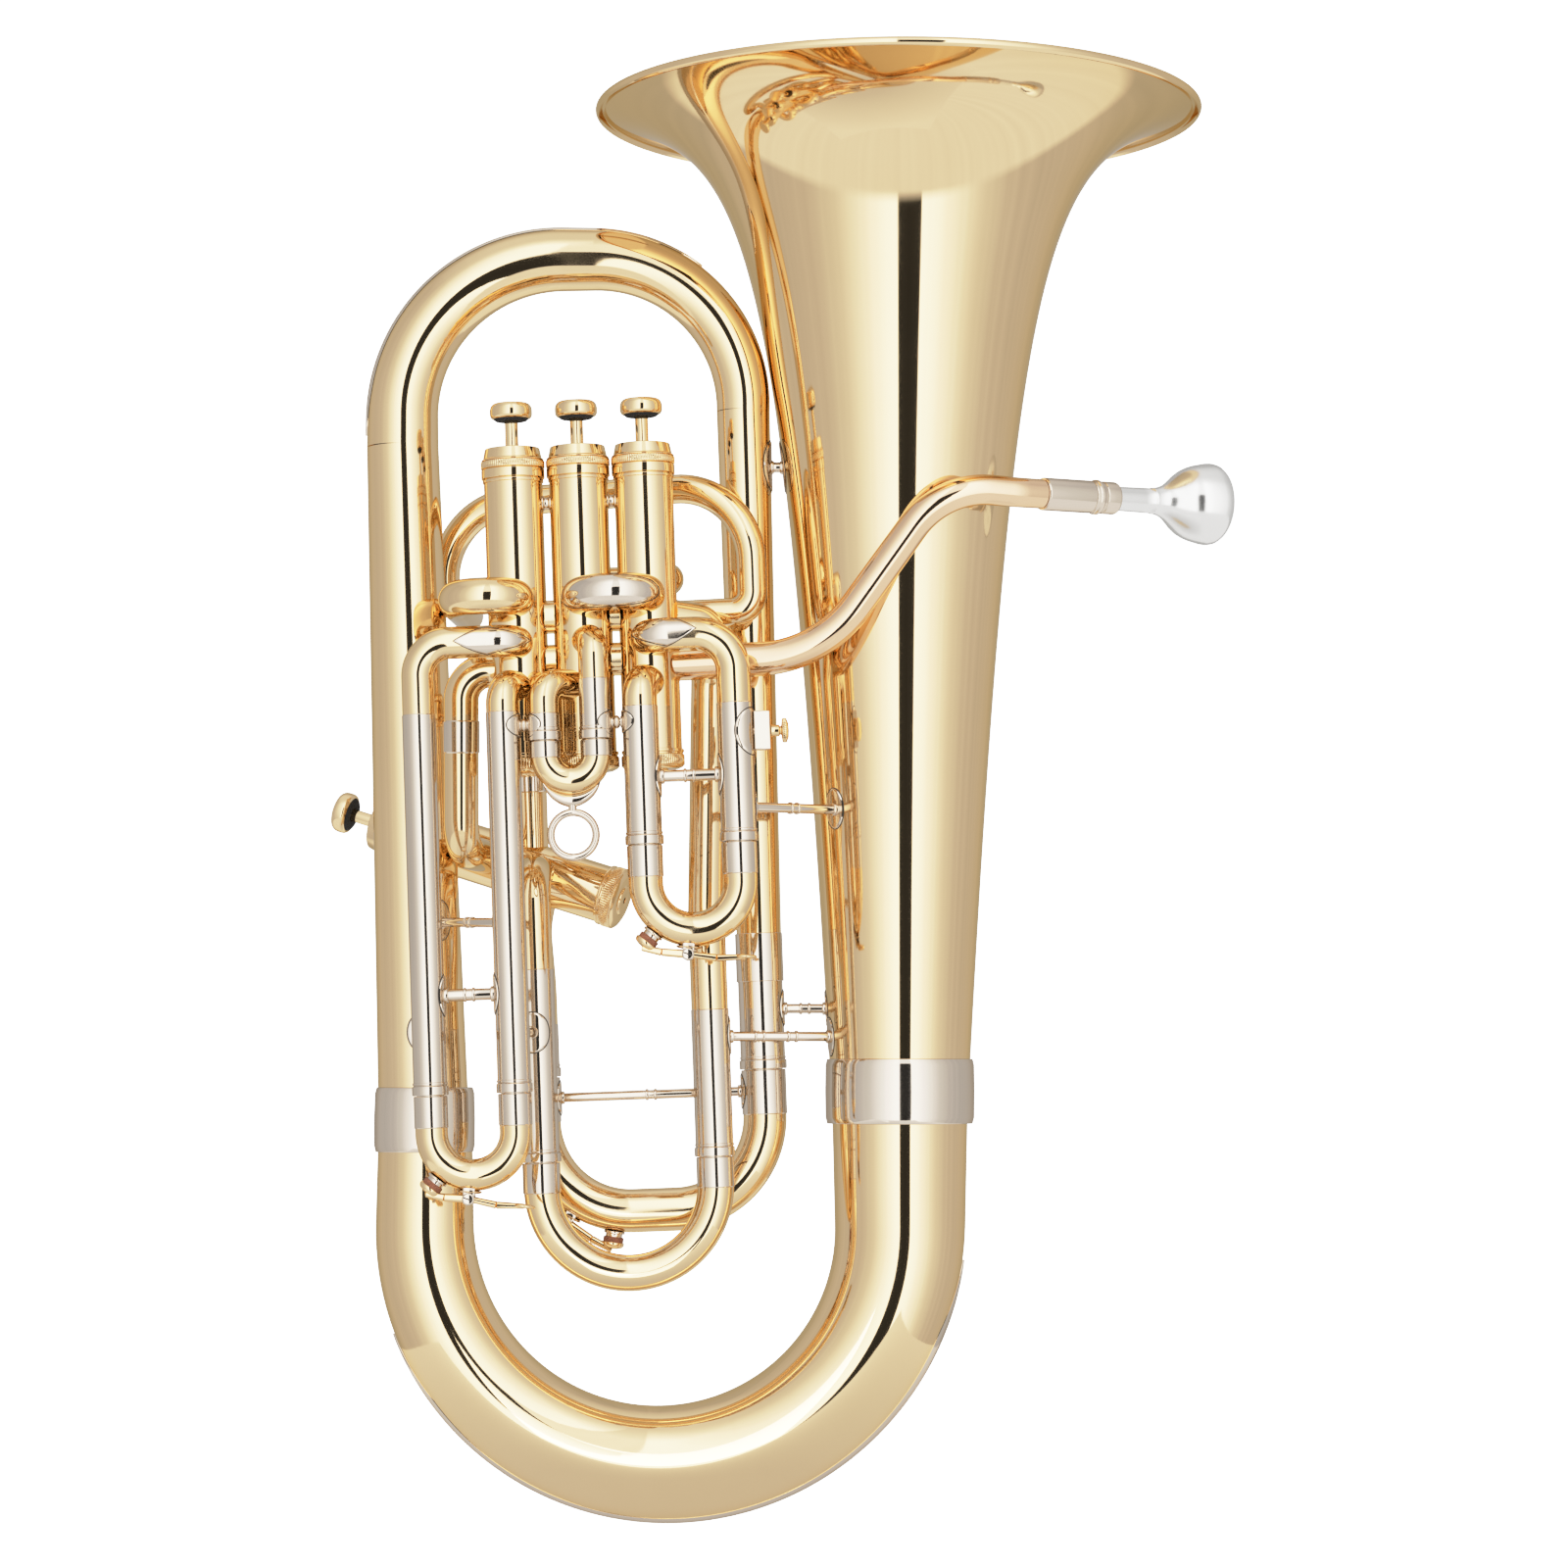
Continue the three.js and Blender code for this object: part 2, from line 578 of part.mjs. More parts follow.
// Each slide: where its legs hang, its tube, and the heights of its parts on the valve block.
const slide1 = { left: 27.2, right: 72.9, y: SLIDE_Y, r: 8.65, tops: [-80.5, -80.5], end: -147.8, leg: -163.5, low: -189.5 };
const slide2 = { left: -19.4, right: 5.4, y: SLIDE_Y, r: 7.6, tops: [-82.5, -66.3], end: -95.8, leg: -104.3, low: -115.2 };
const slide3 = { left: -79.9, right: -39.4, y: SLIDE_Y, r: 8.1, tops: [-81, -81], end: -264.8, leg: -280.5, low: -303.5 };
const slide4 = { left: -30.4, right: 55, y: DEEP_SLIDE_Y, r: 9.3, tops: [-205, -227.7], end: -299.7, leg: -315, low: -355.3 };
const mainSlide = { left: -32, right: 80.2, y: 0, r: 11.1, tops: [-232, -191], end: -258, leg: -280.4, low: -325.7 };

const RING_HEIGHT = 4.6;
const RING_STEP = 0.55;

// The widths of a fixed leg that starts as brass, turns to a nickel sleeve and ends in a ring.
function sleeveMarks(slide, stations) {
  const total = lengthOf(stations);
  const bore = slide.r - SLEEVE_WALL;
  const thick = slide.r + RING_STEP;
  return [
    [0, slide.r - 0.2, bore],
    [total - RING_HEIGHT, slide.r - 0.2, bore],
    [total - RING_HEIGHT, thick, bore],
    [total, thick, bore],
  ];
}

function fixedLeg(slide, corners, bends) {
  const stations = route(corners, bends);
  return pipe(stations, sleeveMarks(slide, stations));
}

// The moving bow: thin legs that run in the sleeves, a collar that meets each sleeve, and the bend.
function movingBow(slide, legLengths) {
  const half = (slide.right - slide.left) / 2;
  const bend = Math.min(half, 45.3);
  const [leftTop, rightTop] = legLengths.map((length) => slide.end + length);
  const stations = route(
    [
      at(slide.left, slide.y, leftTop),
      at(slide.left, slide.y, slide.low),
      at(slide.right, slide.y, slide.low),
      at(slide.right, slide.y, rightTop),
    ],
    [bend, bend],
    30,
  );
  const total = lengthOf(stations);
  const legR = slide.r - SLEEVE_WALL - RUNNING_GAP;
  const bore = legR - 1;
  const bowR = slide.r - 0.45;
  const collar = slide.end - GAP;
  const left = (height) => leftTop - height;
  const right = (height) => total - (rightTop - height);
  const marks = [
    [0, legR, bore],
    [left(collar), legR, bore],
    [left(collar), slide.r, bore],
    [left(slide.leg), slide.r, bore],
    [left(slide.leg), bowR, bore],
    [right(slide.leg), bowR, bore],
    [right(slide.leg), slide.r, bore],
    [right(collar), slide.r, bore],
    [right(collar), legR, bore],
    [total, legR, bore],
  ];
  return pipe(stations, marks);
}

// What a brace needs to know to grow out of a slide's own leg.
function legOf(slide, side, height) {
  return { centre: at(slide[side], slide.y, height), r: slide.r - 0.2, stand: -1 };
}

// The straight bore of a fixed leg, to clear whatever is joined to it.
function boreOf(slide, side) {
  const top = slide.tops[side === "left" ? 0 : 1];
  const foot = at(slide[side], slide.y, slide.end - 1);
  return rod(foot, at(slide[side], slide.y, top), slide.r - SLEEVE_WALL, SIDES);
}

// ---------------------------------------------------------------- slide 1 and its lyre box

const LYRE_TOP = -85.2;
const LYRE_BOTTOM = -104;
const LYRE_ACROSS = 85.4;
const LYRE_HALF = 3.9;
const LYRE_SOCKET = 2.55;
const LYRE_SCREW = -94.9;

function box(across, y, low, high, halfAcross, halfDeep) {
  const geometry = new THREE.BoxGeometry(2 * halfAcross, 2 * halfDeep, high - low);
  geometry.applyMatrix4(new THREE.Matrix4().makeBasis(RIGHT, BACK, UP));
  const middle = at(across, y, (low + high) / 2);
  return solidOf(geometry.translate(middle.x, middle.y, middle.z));
}

function slide1Outer() {
  const upper = fixedLeg(
    slide1,
    [at(PITCH, VALVE_Y - 8, UPPER_KNUCKLE), at(PITCH, SLIDE_Y, UPPER_KNUCKLE),
      at(slide1.right, SLIDE_Y, UPPER_KNUCKLE), at(slide1.right, SLIDE_Y, slide1.end)],
    [9.5, 18],
  );
  const lower = fixedLeg(
    slide1,
    [at(PITCH - 1, VALVE_Y - 8, LOWER_KNUCKLE), at(slide1.left, SLIDE_Y, LOWER_KNUCKLE),
      at(slide1.left, SLIDE_Y, slide1.end)],
    [10],
  );
  const cross = brace(legOf(slide1, "left", -115), legOf(slide1, "right", -115));
  const stay = brace(legOf(slide1, "right", -131), bellAt(351), 2.4);
  const lyreBox = box(LYRE_ACROSS, SLIDE_Y, LYRE_BOTTOM, LYRE_TOP, LYRE_HALF, LYRE_HALF);
  const socket = box(LYRE_ACROSS, SLIDE_Y, LYRE_BOTTOM - 1, LYRE_TOP + 1, LYRE_SOCKET, LYRE_SOCKET);
  const web = box(LYRE_ACROSS - LYRE_HALF - 1, SLIDE_Y, LYRE_BOTTOM + 2, LYRE_TOP - 2, 2, 3);
  const screwHole = rod(at(LYRE_ACROSS, SLIDE_Y, LYRE_SCREW), at(LYRE_ACROSS + 8, SLIDE_Y, LYRE_SCREW), 1.9);
  const whole = joined([upper, lower, cross, stay, lyreBox, web]);
  return cutBy(whole, [boreOf(slide1, "left"), boreOf(slide1, "right"), socket, screwHole, casingCutter(valve1)]);
}

function lyreScrew() {
  const start = at(LYRE_ACROSS + LYRE_SOCKET + 0.15, SLIDE_Y, LYRE_SCREW);
  const profile = [[0, 0], [1.6, 0], [1.6, 5.2], [3.2, 5.2], [3.2, 7], [6, 7.5], [6, 10], [3.5, 10.7], [0, 10.7]];
  return turned(profile, start, RIGHT, 12);
}

// ---------------------------------------------------------------- slides 2 and 3

function slide2Outer(side) {
  const isLeft = side === "left";
  const height = isLeft ? LOWER_KNUCKLE : UPPER_KNUCKLE;
  const across = isLeft ? -5 : 1.5;
  const leg = fixedLeg(
    slide2,
    [at(across, VALVE_Y - 8, height), at(slide2[side], SLIDE_Y, height), at(slide2[side], SLIDE_Y, slide2.end)],
    [9.5],
  );
  return cutBy(leg, [boreOf(slide2, side), casingCutter(valve2)]);
}

function slide2Bow() {
  const middle = (slide2.left + slide2.right) / 2;
  const half = (slide2.right - slide2.left) / 2;
  const rim = ring(at(middle, SLIDE_Y - 3, slide2.low + half), BACK, 6, half + 13.2, half + 6.2, 20);
  const lowerPart = box(middle, SLIDE_Y, slide2.low - 20, slide2.low - 3, 13, 8);
  return movingBow(slide2, [18, 18]).add(rim.intersect(lowerPart));
}

function pullRing() {
  const centre = at(-7, SLIDE_Y, -141.8);
  return turned([[9, -1.4], [12.8, -1.4], [12.8, 1.4], [9, 1.4]], centre, BACK, 18);
}

function slide3Outer() {
  const upper = fixedLeg(
    slide3,
    [at(-PITCH, VALVE_Y - 8, UPPER_KNUCKLE), at(-PITCH, SLIDE_Y, UPPER_KNUCKLE),
      at(slide3.left, SLIDE_Y, UPPER_KNUCKLE), at(slide3.left, SLIDE_Y, slide3.end)],
    [9.5, 16],
  );
  const lower = fixedLeg(
    slide3,
    [at(-PITCH - 1, VALVE_Y - 8, LOWER_KNUCKLE), at(slide3.right, SLIDE_Y, LOWER_KNUCKLE),
      at(slide3.right, SLIDE_Y, slide3.end)],
    [10],
  );
  const cross = brace(legOf(slide3, "left", -217), legOf(slide3, "right", -217));
  const branchPlate = clearOf(outerSkin, outerFoot, outerLean, 97, OUTER_SIDES);
  const stay = brace(legOf(slide3, "right", -183), branchPlate, 2.1);
  return cutBy(joined([upper, lower, cross, stay]), [boreOf(slide3, "left"), boreOf(slide3, "right"), casingCutter(valve3)]);
}

// ---------------------------------------------------------------- slide 4 and the main tuning slide

const sideOutlet = valveAt(valve4, SIDE_OUTLET);

function slide4OuterLeft() {
  const top = at(slide4.left, DEEP_SLIDE_Y, -158);
  const start = along(sideOutlet, sideFront, 8);
  const leg = fixedLeg(slide4, [start, top, at(slide4.left, DEEP_SLIDE_Y, slide4.end)], [17]);
  return cutBy(leg, [boreOf(slide4, "left"), casingCutter(valve4)]);
}

function slide4OuterRight() {
  const leg = fixedLeg(
    slide4,
    [at(PITCH + 9, VALVE_Y, RETURN_PORT), at(62, -34, -38.5), at(60.5, -19.5, -66),
      at(slide4.right, DEEP_SLIDE_Y, -180), at(slide4.right, DEEP_SLIDE_Y, slide4.end)],
    [11, 20, 60],
  );
  const stay = brace(legOf(slide4, "right", -241), bellAt(239, 6.5, 5), 2.4);
  return cutBy(leg.add(stay), [boreOf(slide4, "right"), casingCutter(valve1)]);
}

function mainSleeveLeft() {
  const start = along(sideOutlet, sideDown, 8);
  const leg = fixedLeg(
    mainSlide,
    [start, along(sideOutlet, sideDown, 24), at(mainSlide.left, 0, -214), at(mainSlide.left, 0, mainSlide.end)],
    [30, 30],
  );
  return cutBy(leg, [boreOf(mainSlide, "left"), casingCutter(valve4)]);
}

function mainSleeveRight() {
  const top = innerAt(INNER_FOOT - GAP);
  const stations = [{ p: top, t: DOWN }, { p: at(mainSlide.right, 0, mainSlide.end), t: DOWN }];
  const leg = pipe(stations, sleeveMarks(mainSlide, stations));
  const stay = brace(legOf(mainSlide, "right", -228), bellAt(253, 6.5, 6), 2.4);
  return cutBy(leg.add(stay), [boreOf(mainSlide, "right")]);
}

function mainBow() {
  const bow = movingBow(mainSlide, [20, 50]);
  const onLeg = (side) => legOf(mainSlide, side, -268.6);
  return bow.add(brace(onLeg("left"), onLeg("right"), 2.3));
}

// ---------------------------------------------------------------- water keys

// A lever that rocks on its saddle: a pad cup at one end, a finger plate at the other, a barrel between.
function waterKey(pivot, padEnd, fingerEnd, seat) {
  const arm = (from, to, r) => rod(from, to, r, 6);
  const barrelHalf = 4;
  const hub = ring(along(pivot, BACK, -barrelHalf), BACK, 2 * barrelHalf, 2.6, 1.1, 8);
  const cupAxis = seat.clone().sub(padEnd).normalize();
  const cup = rod(padEnd, along(padEnd, cupAxis, 4.4), 3.5, 10);
  const finger = rod(along(fingerEnd, UP, -0.8), along(fingerEnd, UP, 0.8), 4.2, 10);
  const reach = (end) => along(pivot, end.clone().sub(pivot).normalize(), 1.8);
  return joined([hub, arm(reach(padEnd), padEnd, 1.2), arm(reach(fingerEnd), fingerEnd, 1.2), cup, finger]);
}

// Where a bow's outer skin lies, at an angle from its bend's centre (0 is right, -90 is down).
function bowSkin(slide, side, degrees, proud) {
  const half = Math.min((slide.right - slide.left) / 2, 45.3);
  const centre = side === "left" ? slide.left + half : slide.right - half;
  const a = THREE.MathUtils.degToRad(degrees);
  const r = half + slide.r - 0.45 + proud;
  return at(centre + r * Math.cos(a), slide.y, slide.low + half + r * Math.sin(a));
}

// The fixed half of a water key: the drain nipple and two saddle ears with the pin between them.
function keySeat(slide, side, nippleDegrees, saddleDegrees) {
  const nipple = rod(bowSkin(slide, side, nippleDegrees, -4), bowSkin(slide, side, nippleDegrees, 2.6), 3.2, 8);
  const pivot = bowSkin(slide, side, saddleDegrees, 3.8);
  const pin = rod(along(pivot, BACK, -6.4), along(pivot, BACK, 6.4), 0.8, 6);
  const ears = [-1, 1].map((way) => {
    const base = along(bowSkin(slide, side, saddleDegrees, -3.4), BACK, way * 5.3);
    const top = along(pivot, BACK, way * 5.3);
    return rod(base, along(top, top.clone().sub(base).normalize(), 1.4), 1, 6);
  });
  return joined([nipple, pin, ...ears]);
}

const KEYS = [
  { name: "water_key_1", slide: slide1, side: "left", nipple: -130, saddle: -96, finger: [74, -203.6] },
  { name: "water_key_3", slide: slide3, side: "left", nipple: -130, saddle: -96, finger: [-36.5, -319.4] },
  { name: "water_key_main", slide: mainSlide, side: "left", nipple: -100, saddle: -124, finger: [-33, -322] },
];

function keyLever({ slide, side, nipple, saddle, finger }) {
  const pivot = bowSkin(slide, side, saddle, 3.8);
  const pad = bowSkin(slide, side, nipple, 7.4);
  const seat = bowSkin(slide, side, nipple, 0);
  return waterKey(pivot, pad, at(finger[0], slide.y, finger[1]), seat);
}

function withKeySeat(bow, key) {
  const bore = key.slide;
  const seat = keySeat(bore, key.side, key.nipple, key.saddle);
  return bow.add(seat);
}

function slides() {
  const [key1, key3, keyMain] = KEYS;
  piece("slide_1_outer", slide1Outer(), "nickel");
  piece("slide_1", withKeySeat(movingBow(slide1, [48, 48]), key1), "lacquer");
  piece("lyre_screw", lyreScrew(), "lacquer");
  piece("slide_2_outer_left", slide2Outer("left"), "nickel");
  piece("slide_2_outer_right", slide2Outer("right"), "nickel");
  piece("slide_2", slide2Bow(), "lacquer");
  piece("slide_2_pull_ring", pullRing(), "nickel");
  piece("slide_3_outer", slide3Outer(), "nickel");
  piece("slide_3", withKeySeat(movingBow(slide3, [150, 150]), key3), "lacquer");
  piece("slide_4_outer_left", slide4OuterLeft(), "nickel");
  piece("slide_4_outer_right", slide4OuterRight(), "nickel");
  piece("slide_4", movingBow(slide4, [70, 60]), "lacquer");
  piece("main_sleeve_left", mainSleeveLeft(), "nickel");
  piece("main_sleeve_right", mainSleeveRight(), "nickel");
  piece("main_tuning_slide", withKeySeat(mainBow(), keyMain), "lacquer");
  for (const key of KEYS) piece(key.name, keyLever(key), "lacquer");
}

// ---------------------------------------------------------------- loops between the valves

const LOOP_R = 9;
const REAR_LOOP_R = 8.3;
const ARCH_R = 7.3;
const ARCH_BEND = 38;
const ARCH_TOP = 32;
const LOOP_FRONT = -73;

// Valve 3's loop comes forward, turns left and back beside the block, climbs into the arch that crosses
// behind the valves, and comes down before the inner branch into the back of valve 1.
function compensatingArch() {
  const [left, leftY, right, rightY] = [-71.9, 24, 83.4, -21.5];
  const besideBlock = -60.3;
  const stations = route(
    [
      at(-PITCH, VALVE_Y - 8, UPPER_LOOP), at(-PITCH, LOOP_FRONT, UPPER_LOOP), at(besideBlock, LOOP_FRONT, UPPER_LOOP),
      at(besideBlock, leftY, UPPER_LOOP), at(left, leftY, UPPER_LOOP + 11), at(left, leftY, ARCH_TOP),
      at(right, rightY, ARCH_TOP), at(right, rightY, ARCH_PORT), at(PITCH, -14, ARCH_PORT),
      at(PITCH, VALVE_Y + 8, ARCH_PORT),
    ],
    [14, 14, 10, 8, ARCH_BEND, ARCH_BEND, 10, 10],
  );
  const total = lengthOf(stations);
  const [wide, narrow] = [62, 150]; // along the tube, where it starts and stops narrowing
  const marks = [
    [0, LOOP_R, LOOP_R - 1.4],
    [wide, LOOP_R, LOOP_R - 1.4],
    [narrow, ARCH_R, ARCH_R - WALL],
    [total, ARCH_R, ARCH_R - WALL],
  ];
  return cutBy(pipe(stations, marks), [casingCutter(valve3), casingCutter(valve1)]);
}

function compensatingLoop() {
  const stations = route(
    [
      at(PITCH, VALVE_Y - 8, UPPER_LOOP), at(PITCH, LOOP_FRONT, UPPER_LOOP), at(0, LOOP_FRONT, UPPER_LOOP),
      at(0, VALVE_Y - 8, UPPER_LOOP),
    ],
    [15.9, 15.9],
  );
  return cutBy(taper(stations, LOOP_R, LOOP_R), [casingCutter(valve1), casingCutter(valve2)]);
}

// A second loop joins the same two valves behind.
function compensatingRearLoop() {
  const far = PITCH + 9.4;
  const stations = route(
    [
      at(0, VALVE_Y + 8, REAR_LOOP), at(0, -9, REAR_LOOP), at(far, -9, REAR_LOOP), at(far, -22, REAR_LOOP),
      at(PITCH, -34, REAR_LOOP), at(PITCH, VALVE_Y + 6, REAR_LOOP),
    ],
    [12, 12, 6, 2],
  );
  return cutBy(taper(stations, REAR_LOOP_R, REAR_LOOP_R), [casingCutter(valve1), casingCutter(valve2)]);
}

// The tube from valve 3 down to the fourth valve's inlet.
function fourthValveInlet() {
  const stations = route(
    [
      at(-PITCH - 9, VALVE_Y, INLET_PORT), at(-60.5, VALVE_Y, INLET_PORT), V(-98, -36, 330),
      along(valveAt(valve4, SIDE_INLET), sideFront, 8),
    ],
    [15, 17],
  );
  return cutBy(taper(stations, 8.6, 8.6), [casingCutter(valve3), casingCutter(valve4)]);
}

// Its return leaves the back of valve 3 and drops straight into the side valve from above.
function fourthValveReturn() {
  const foot = along(valveAt(valve4, SIDE_RETURN), sideDown, -8);
  const stations = route([at(-PITCH, VALVE_Y + 8, OUTLET_PORT), at(-PITCH, 14, OUTLET_PORT), foot], [16]);
  return cutBy(taper(stations, 8.4, 8.4), [casingCutter(valve3), casingCutter(valve4)]);
}

// ---------------------------------------------------------------- leadpipe and mouthpiece

const MOUTH_AXIS = V(42.7, 24, 0.6).normalize();
const SHANK_DEPTH = 18; // from the leadpipe's end to the foot of the mouthpiece's shank
const LEADPIPE_END = V(186.3, -51, 503.8);

function leadpipe() {
  const stations = route(
    [
      at(PITCH + 9, VALVE_Y, LEADPIPE_PORT), V(78, -53, 424), V(137, -68, 505.5),
      along(LEADPIPE_END, MOUTH_AXIS, -14), LEADPIPE_END,
    ],
    [62, 42, 30],
    22.5,
  );
  return cutBy(taper(stations, 8.7, 7.2), [casingCutter(valve1)]);
}

function mouthpieceReceiver() {
  const profile = [[6.4, 0], [8, 0], [8, 30], [8.6, 30], [8.6, 32.4], [8, 32.4], [8, 42.4], [6.4, 42.4]];
  return turned(profile, along(LEADPIPE_END, MOUTH_AXIS, GAP), MOUTH_AXIS, VALVE_SIDES);
}

function mouthpiece() {
  const outside = [
    [5.6, 0], [6, 25], [6.3, 48], [7.4, 52], [9.6, 56.5], [13.2, 61.5], [16.6, 66.5], [18.6, 72], [20.4, 78], [20.4, 82],
    [16.8, 84.6],
  ];
  const inside = [[13.4, 82], [12.4, 70], [7, 58], [3.6, 52], [3.6, 0]];
  return turned([...outside, ...inside], along(LEADPIPE_END, MOUTH_AXIS, SHANK_DEPTH), MOUTH_AXIS, VALVE_SIDES);
}

mainTubing();
valves();
slides();
piece("compensating_arch", compensatingArch(), "lacquer");
piece("compensating_loop", compensatingLoop(), "lacquer");
piece("compensating_rear_loop", compensatingRearLoop(), "lacquer");
piece("fourth_valve_inlet", fourthValveInlet(), "lacquer");
piece("fourth_valve_return", fourthValveReturn(), "lacquer");
piece("leadpipe", leadpipe(), "rose");
piece("mouthpiece_receiver", mouthpieceReceiver(), "nickel");
piece("mouthpiece", mouthpiece(), "silver");

export default euphonium;
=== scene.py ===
"""A four-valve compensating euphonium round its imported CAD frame: smooth tubes, valves, slides, keys,
braces and mouthpiece, with procedural metals. Drawing units are millimetres, in the CAD's frame."""
import math

import bpy
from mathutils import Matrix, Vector


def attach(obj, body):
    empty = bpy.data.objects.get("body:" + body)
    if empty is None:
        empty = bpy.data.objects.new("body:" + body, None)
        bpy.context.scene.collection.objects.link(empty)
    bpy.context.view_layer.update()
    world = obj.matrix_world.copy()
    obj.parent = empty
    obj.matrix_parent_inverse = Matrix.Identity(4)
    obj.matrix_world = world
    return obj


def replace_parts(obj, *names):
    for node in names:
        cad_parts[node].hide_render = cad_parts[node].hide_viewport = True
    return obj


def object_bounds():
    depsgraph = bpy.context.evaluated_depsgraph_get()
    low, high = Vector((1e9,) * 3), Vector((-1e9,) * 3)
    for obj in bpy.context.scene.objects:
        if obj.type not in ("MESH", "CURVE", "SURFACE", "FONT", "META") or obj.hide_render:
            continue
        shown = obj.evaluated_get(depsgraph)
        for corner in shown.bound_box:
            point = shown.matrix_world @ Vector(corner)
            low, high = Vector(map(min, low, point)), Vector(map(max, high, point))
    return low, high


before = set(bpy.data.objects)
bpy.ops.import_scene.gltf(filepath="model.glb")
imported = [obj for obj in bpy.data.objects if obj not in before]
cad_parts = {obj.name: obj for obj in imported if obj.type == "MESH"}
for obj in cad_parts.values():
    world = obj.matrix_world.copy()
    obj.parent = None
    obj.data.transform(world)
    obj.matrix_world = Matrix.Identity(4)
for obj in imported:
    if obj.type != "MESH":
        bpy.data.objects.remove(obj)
cad_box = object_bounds()
MM = 0.001
V = Vector

# ---------------------------------------------------------------- driving dimensions, as in the CAD

HALF_SPAN = 117.8
BOW_CENTRE = 146.5
BOW_LEFT_R = 23.3
BOW_BELL_R = 34.0
BELL_FOOT = 212.5
BRANCH_FOOT = 199.0
RIM_HEIGHT = 704.5
RIM_R = 149.9
BRANCH_TOP = 534.0
OUTER_FOOT_X = -118.6
OUTER_TOP_X = -131.0
INNER_FOOT_X = 47.8
INNER_TOP_X = 39.8
INNER_FOOT = 288.0
INNER_TOP = 552.0
TOP_BOW_HEIGHT = 629.0
LEAN = math.radians(2.1)
BLOCK_X = -39.6
BLOCK_Z = 477.9
PITCH = 32.0
VALVE_Y = -42.0
CASING_R = 14.4
CAP_R = 15.5
SLIDE_Y = -66.5
DEEP_SLIDE_Y = -22.0
FRONT_FOOT = -111.0
SIDE_FOOT = -87.4
SEAM = 0.3  # between two pieces that meet
SEAM_LINE = 0.32  # width of the dark line round a soldered plate

RIGHT = V((math.cos(LEAN), 0, math.sin(LEAN)))
UP = V((-math.sin(LEAN), 0, math.cos(LEAN)))
DOWN = -UP
FRONT = V((0, -1, 0))
BACK = V((0, 1, 0))
BELL_AXIS = V((0, 0, 1))


def at(across, y, up):
    """A place on the valve block: across from the middle valve, in depth, and up its axis."""
    return V((BLOCK_X, y, BLOCK_Z)) + RIGHT * across + UP * up


def lerp(a, b, f):
    return a + (b - a) * f


# ---------------------------------------------------------------- meshes

def cross_frame(direction):
    near = V((1, 0, 0)) if abs(direction.y) > 0.9 else BACK
    n = (near - direction * near.dot(direction)).normalized()
    return n, direction.cross(n)


def new_mesh(name, points, faces, material, body="instrument", sharp=32.0):
    """A smooth-shaded object of points in millimetres that rides on a body."""
    mesh = bpy.data.meshes.new(name)
    mesh.from_pydata([tuple(p * MM) for p in points], [], faces)
    mesh.validate()
    mesh.shade_smooth()
    mesh.set_sharp_from_angle(angle=math.radians(sharp))
    mesh.materials.append(METALS[material][0] if isinstance(material, str) else material)
    obj = bpy.data.objects.new(name, mesh)
    bpy.context.scene.collection.objects.link(obj)
    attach(obj, body)
    return obj


def rounded(profile, radius, steps=3, closed=True):
    """The profile with each corner turned into a small arc, where there is room for one."""
    out = []
    count = len(profile)
    for i, (r, h) in enumerate(profile):
        if not closed and i in (0, count - 1):
            out.append((r, h))
            continue
        p = V((r, h, 0))
        a = V((*profile[i - 1], 0)) - p
        b = V((*profile[(i + 1) % count], 0)) - p
        if r < 1e-6 or a.length < 1e-6 or b.length < 1e-6 or a.angle(b) > math.radians(160):
            out.append((r, h))
            continue
        reach = min(radius, 0.42 * a.length, 0.42 * b.length)
        start, end = p + a.normalized() * reach, p + b.normalized() * reach
        for k in range(steps + 1):
            f = k / steps
            q = start.lerp(p, f).lerp(p.lerp(end, f), f)
            out.append((q.x, q.y))
    return out


def skin(rings, closed_along):
    """Points and faces of a grid of rings, with poles where a ring has shrunk to one point."""
    points, rows = [], []
    for ring in rings:
        rows.append(list(range(len(points), len(points) + len(ring))))
        points.extend(ring)
    faces = []
    pairs = len(rows) if closed_along else len(rows) - 1
    for i in range(pairs):
        a, b = rows[i], rows[(i + 1) % len(rows)]
        n = max(len(a), len(b))
        for k in range(n):
            j = (k + 1) % n
            if len(a) == 1:
                faces.append((a[0], b[j], b[k]))
            elif len(b) == 1:
                faces.append((a[k], a[j], b[0]))
            else:
                faces.append((a[k], a[j], b[j], b[k]))
    return points, faces


def lathe(
    name, profile, base, axis, material, body="instrument", sides=64, edge=0.3, radius_at=None, sharp=32.0,
):
    """A body turned about an axis from a profile of (radius, height), its edges rounded."""
    closed = profile[0][0] > 0
    outline = rounded(profile, edge, closed=closed) if edge else profile
    n, b = cross_frame(axis)
    rings = []
    for r, h in outline:
        centre = base + axis * h
        if r < 1e-6:
            rings.append([centre])
            continue
        ring = []
        for k in range(sides):
            a = 2 * math.pi * k / sides
            extra = radius_at(a, h) if radius_at else 0
            ring.append(centre + (b * math.sin(a) + n * math.cos(a)) * (r + extra))
        rings.append(ring)
    points, faces = skin(rings, closed)
    return new_mesh(name, points, faces, material, body, sharp)


def band(name, base, axis, length, outer, inner, material, body="instrument", edge=0.35, sides=64):
    profile = [(inner, 0), (outer, 0), (outer, length), (inner, length)]
    return lathe(name, profile, base, axis, material, body, sides, edge)


def post(name, start, end, r, material, body="instrument", edge=0.3, sides=32):
    axis = end - start
    length = axis.length
    profile = [(0, 0), (r, 0), (r, length), (0, length)]
    return lathe(name, profile, start, axis.normalized(), material, body, sides, edge)


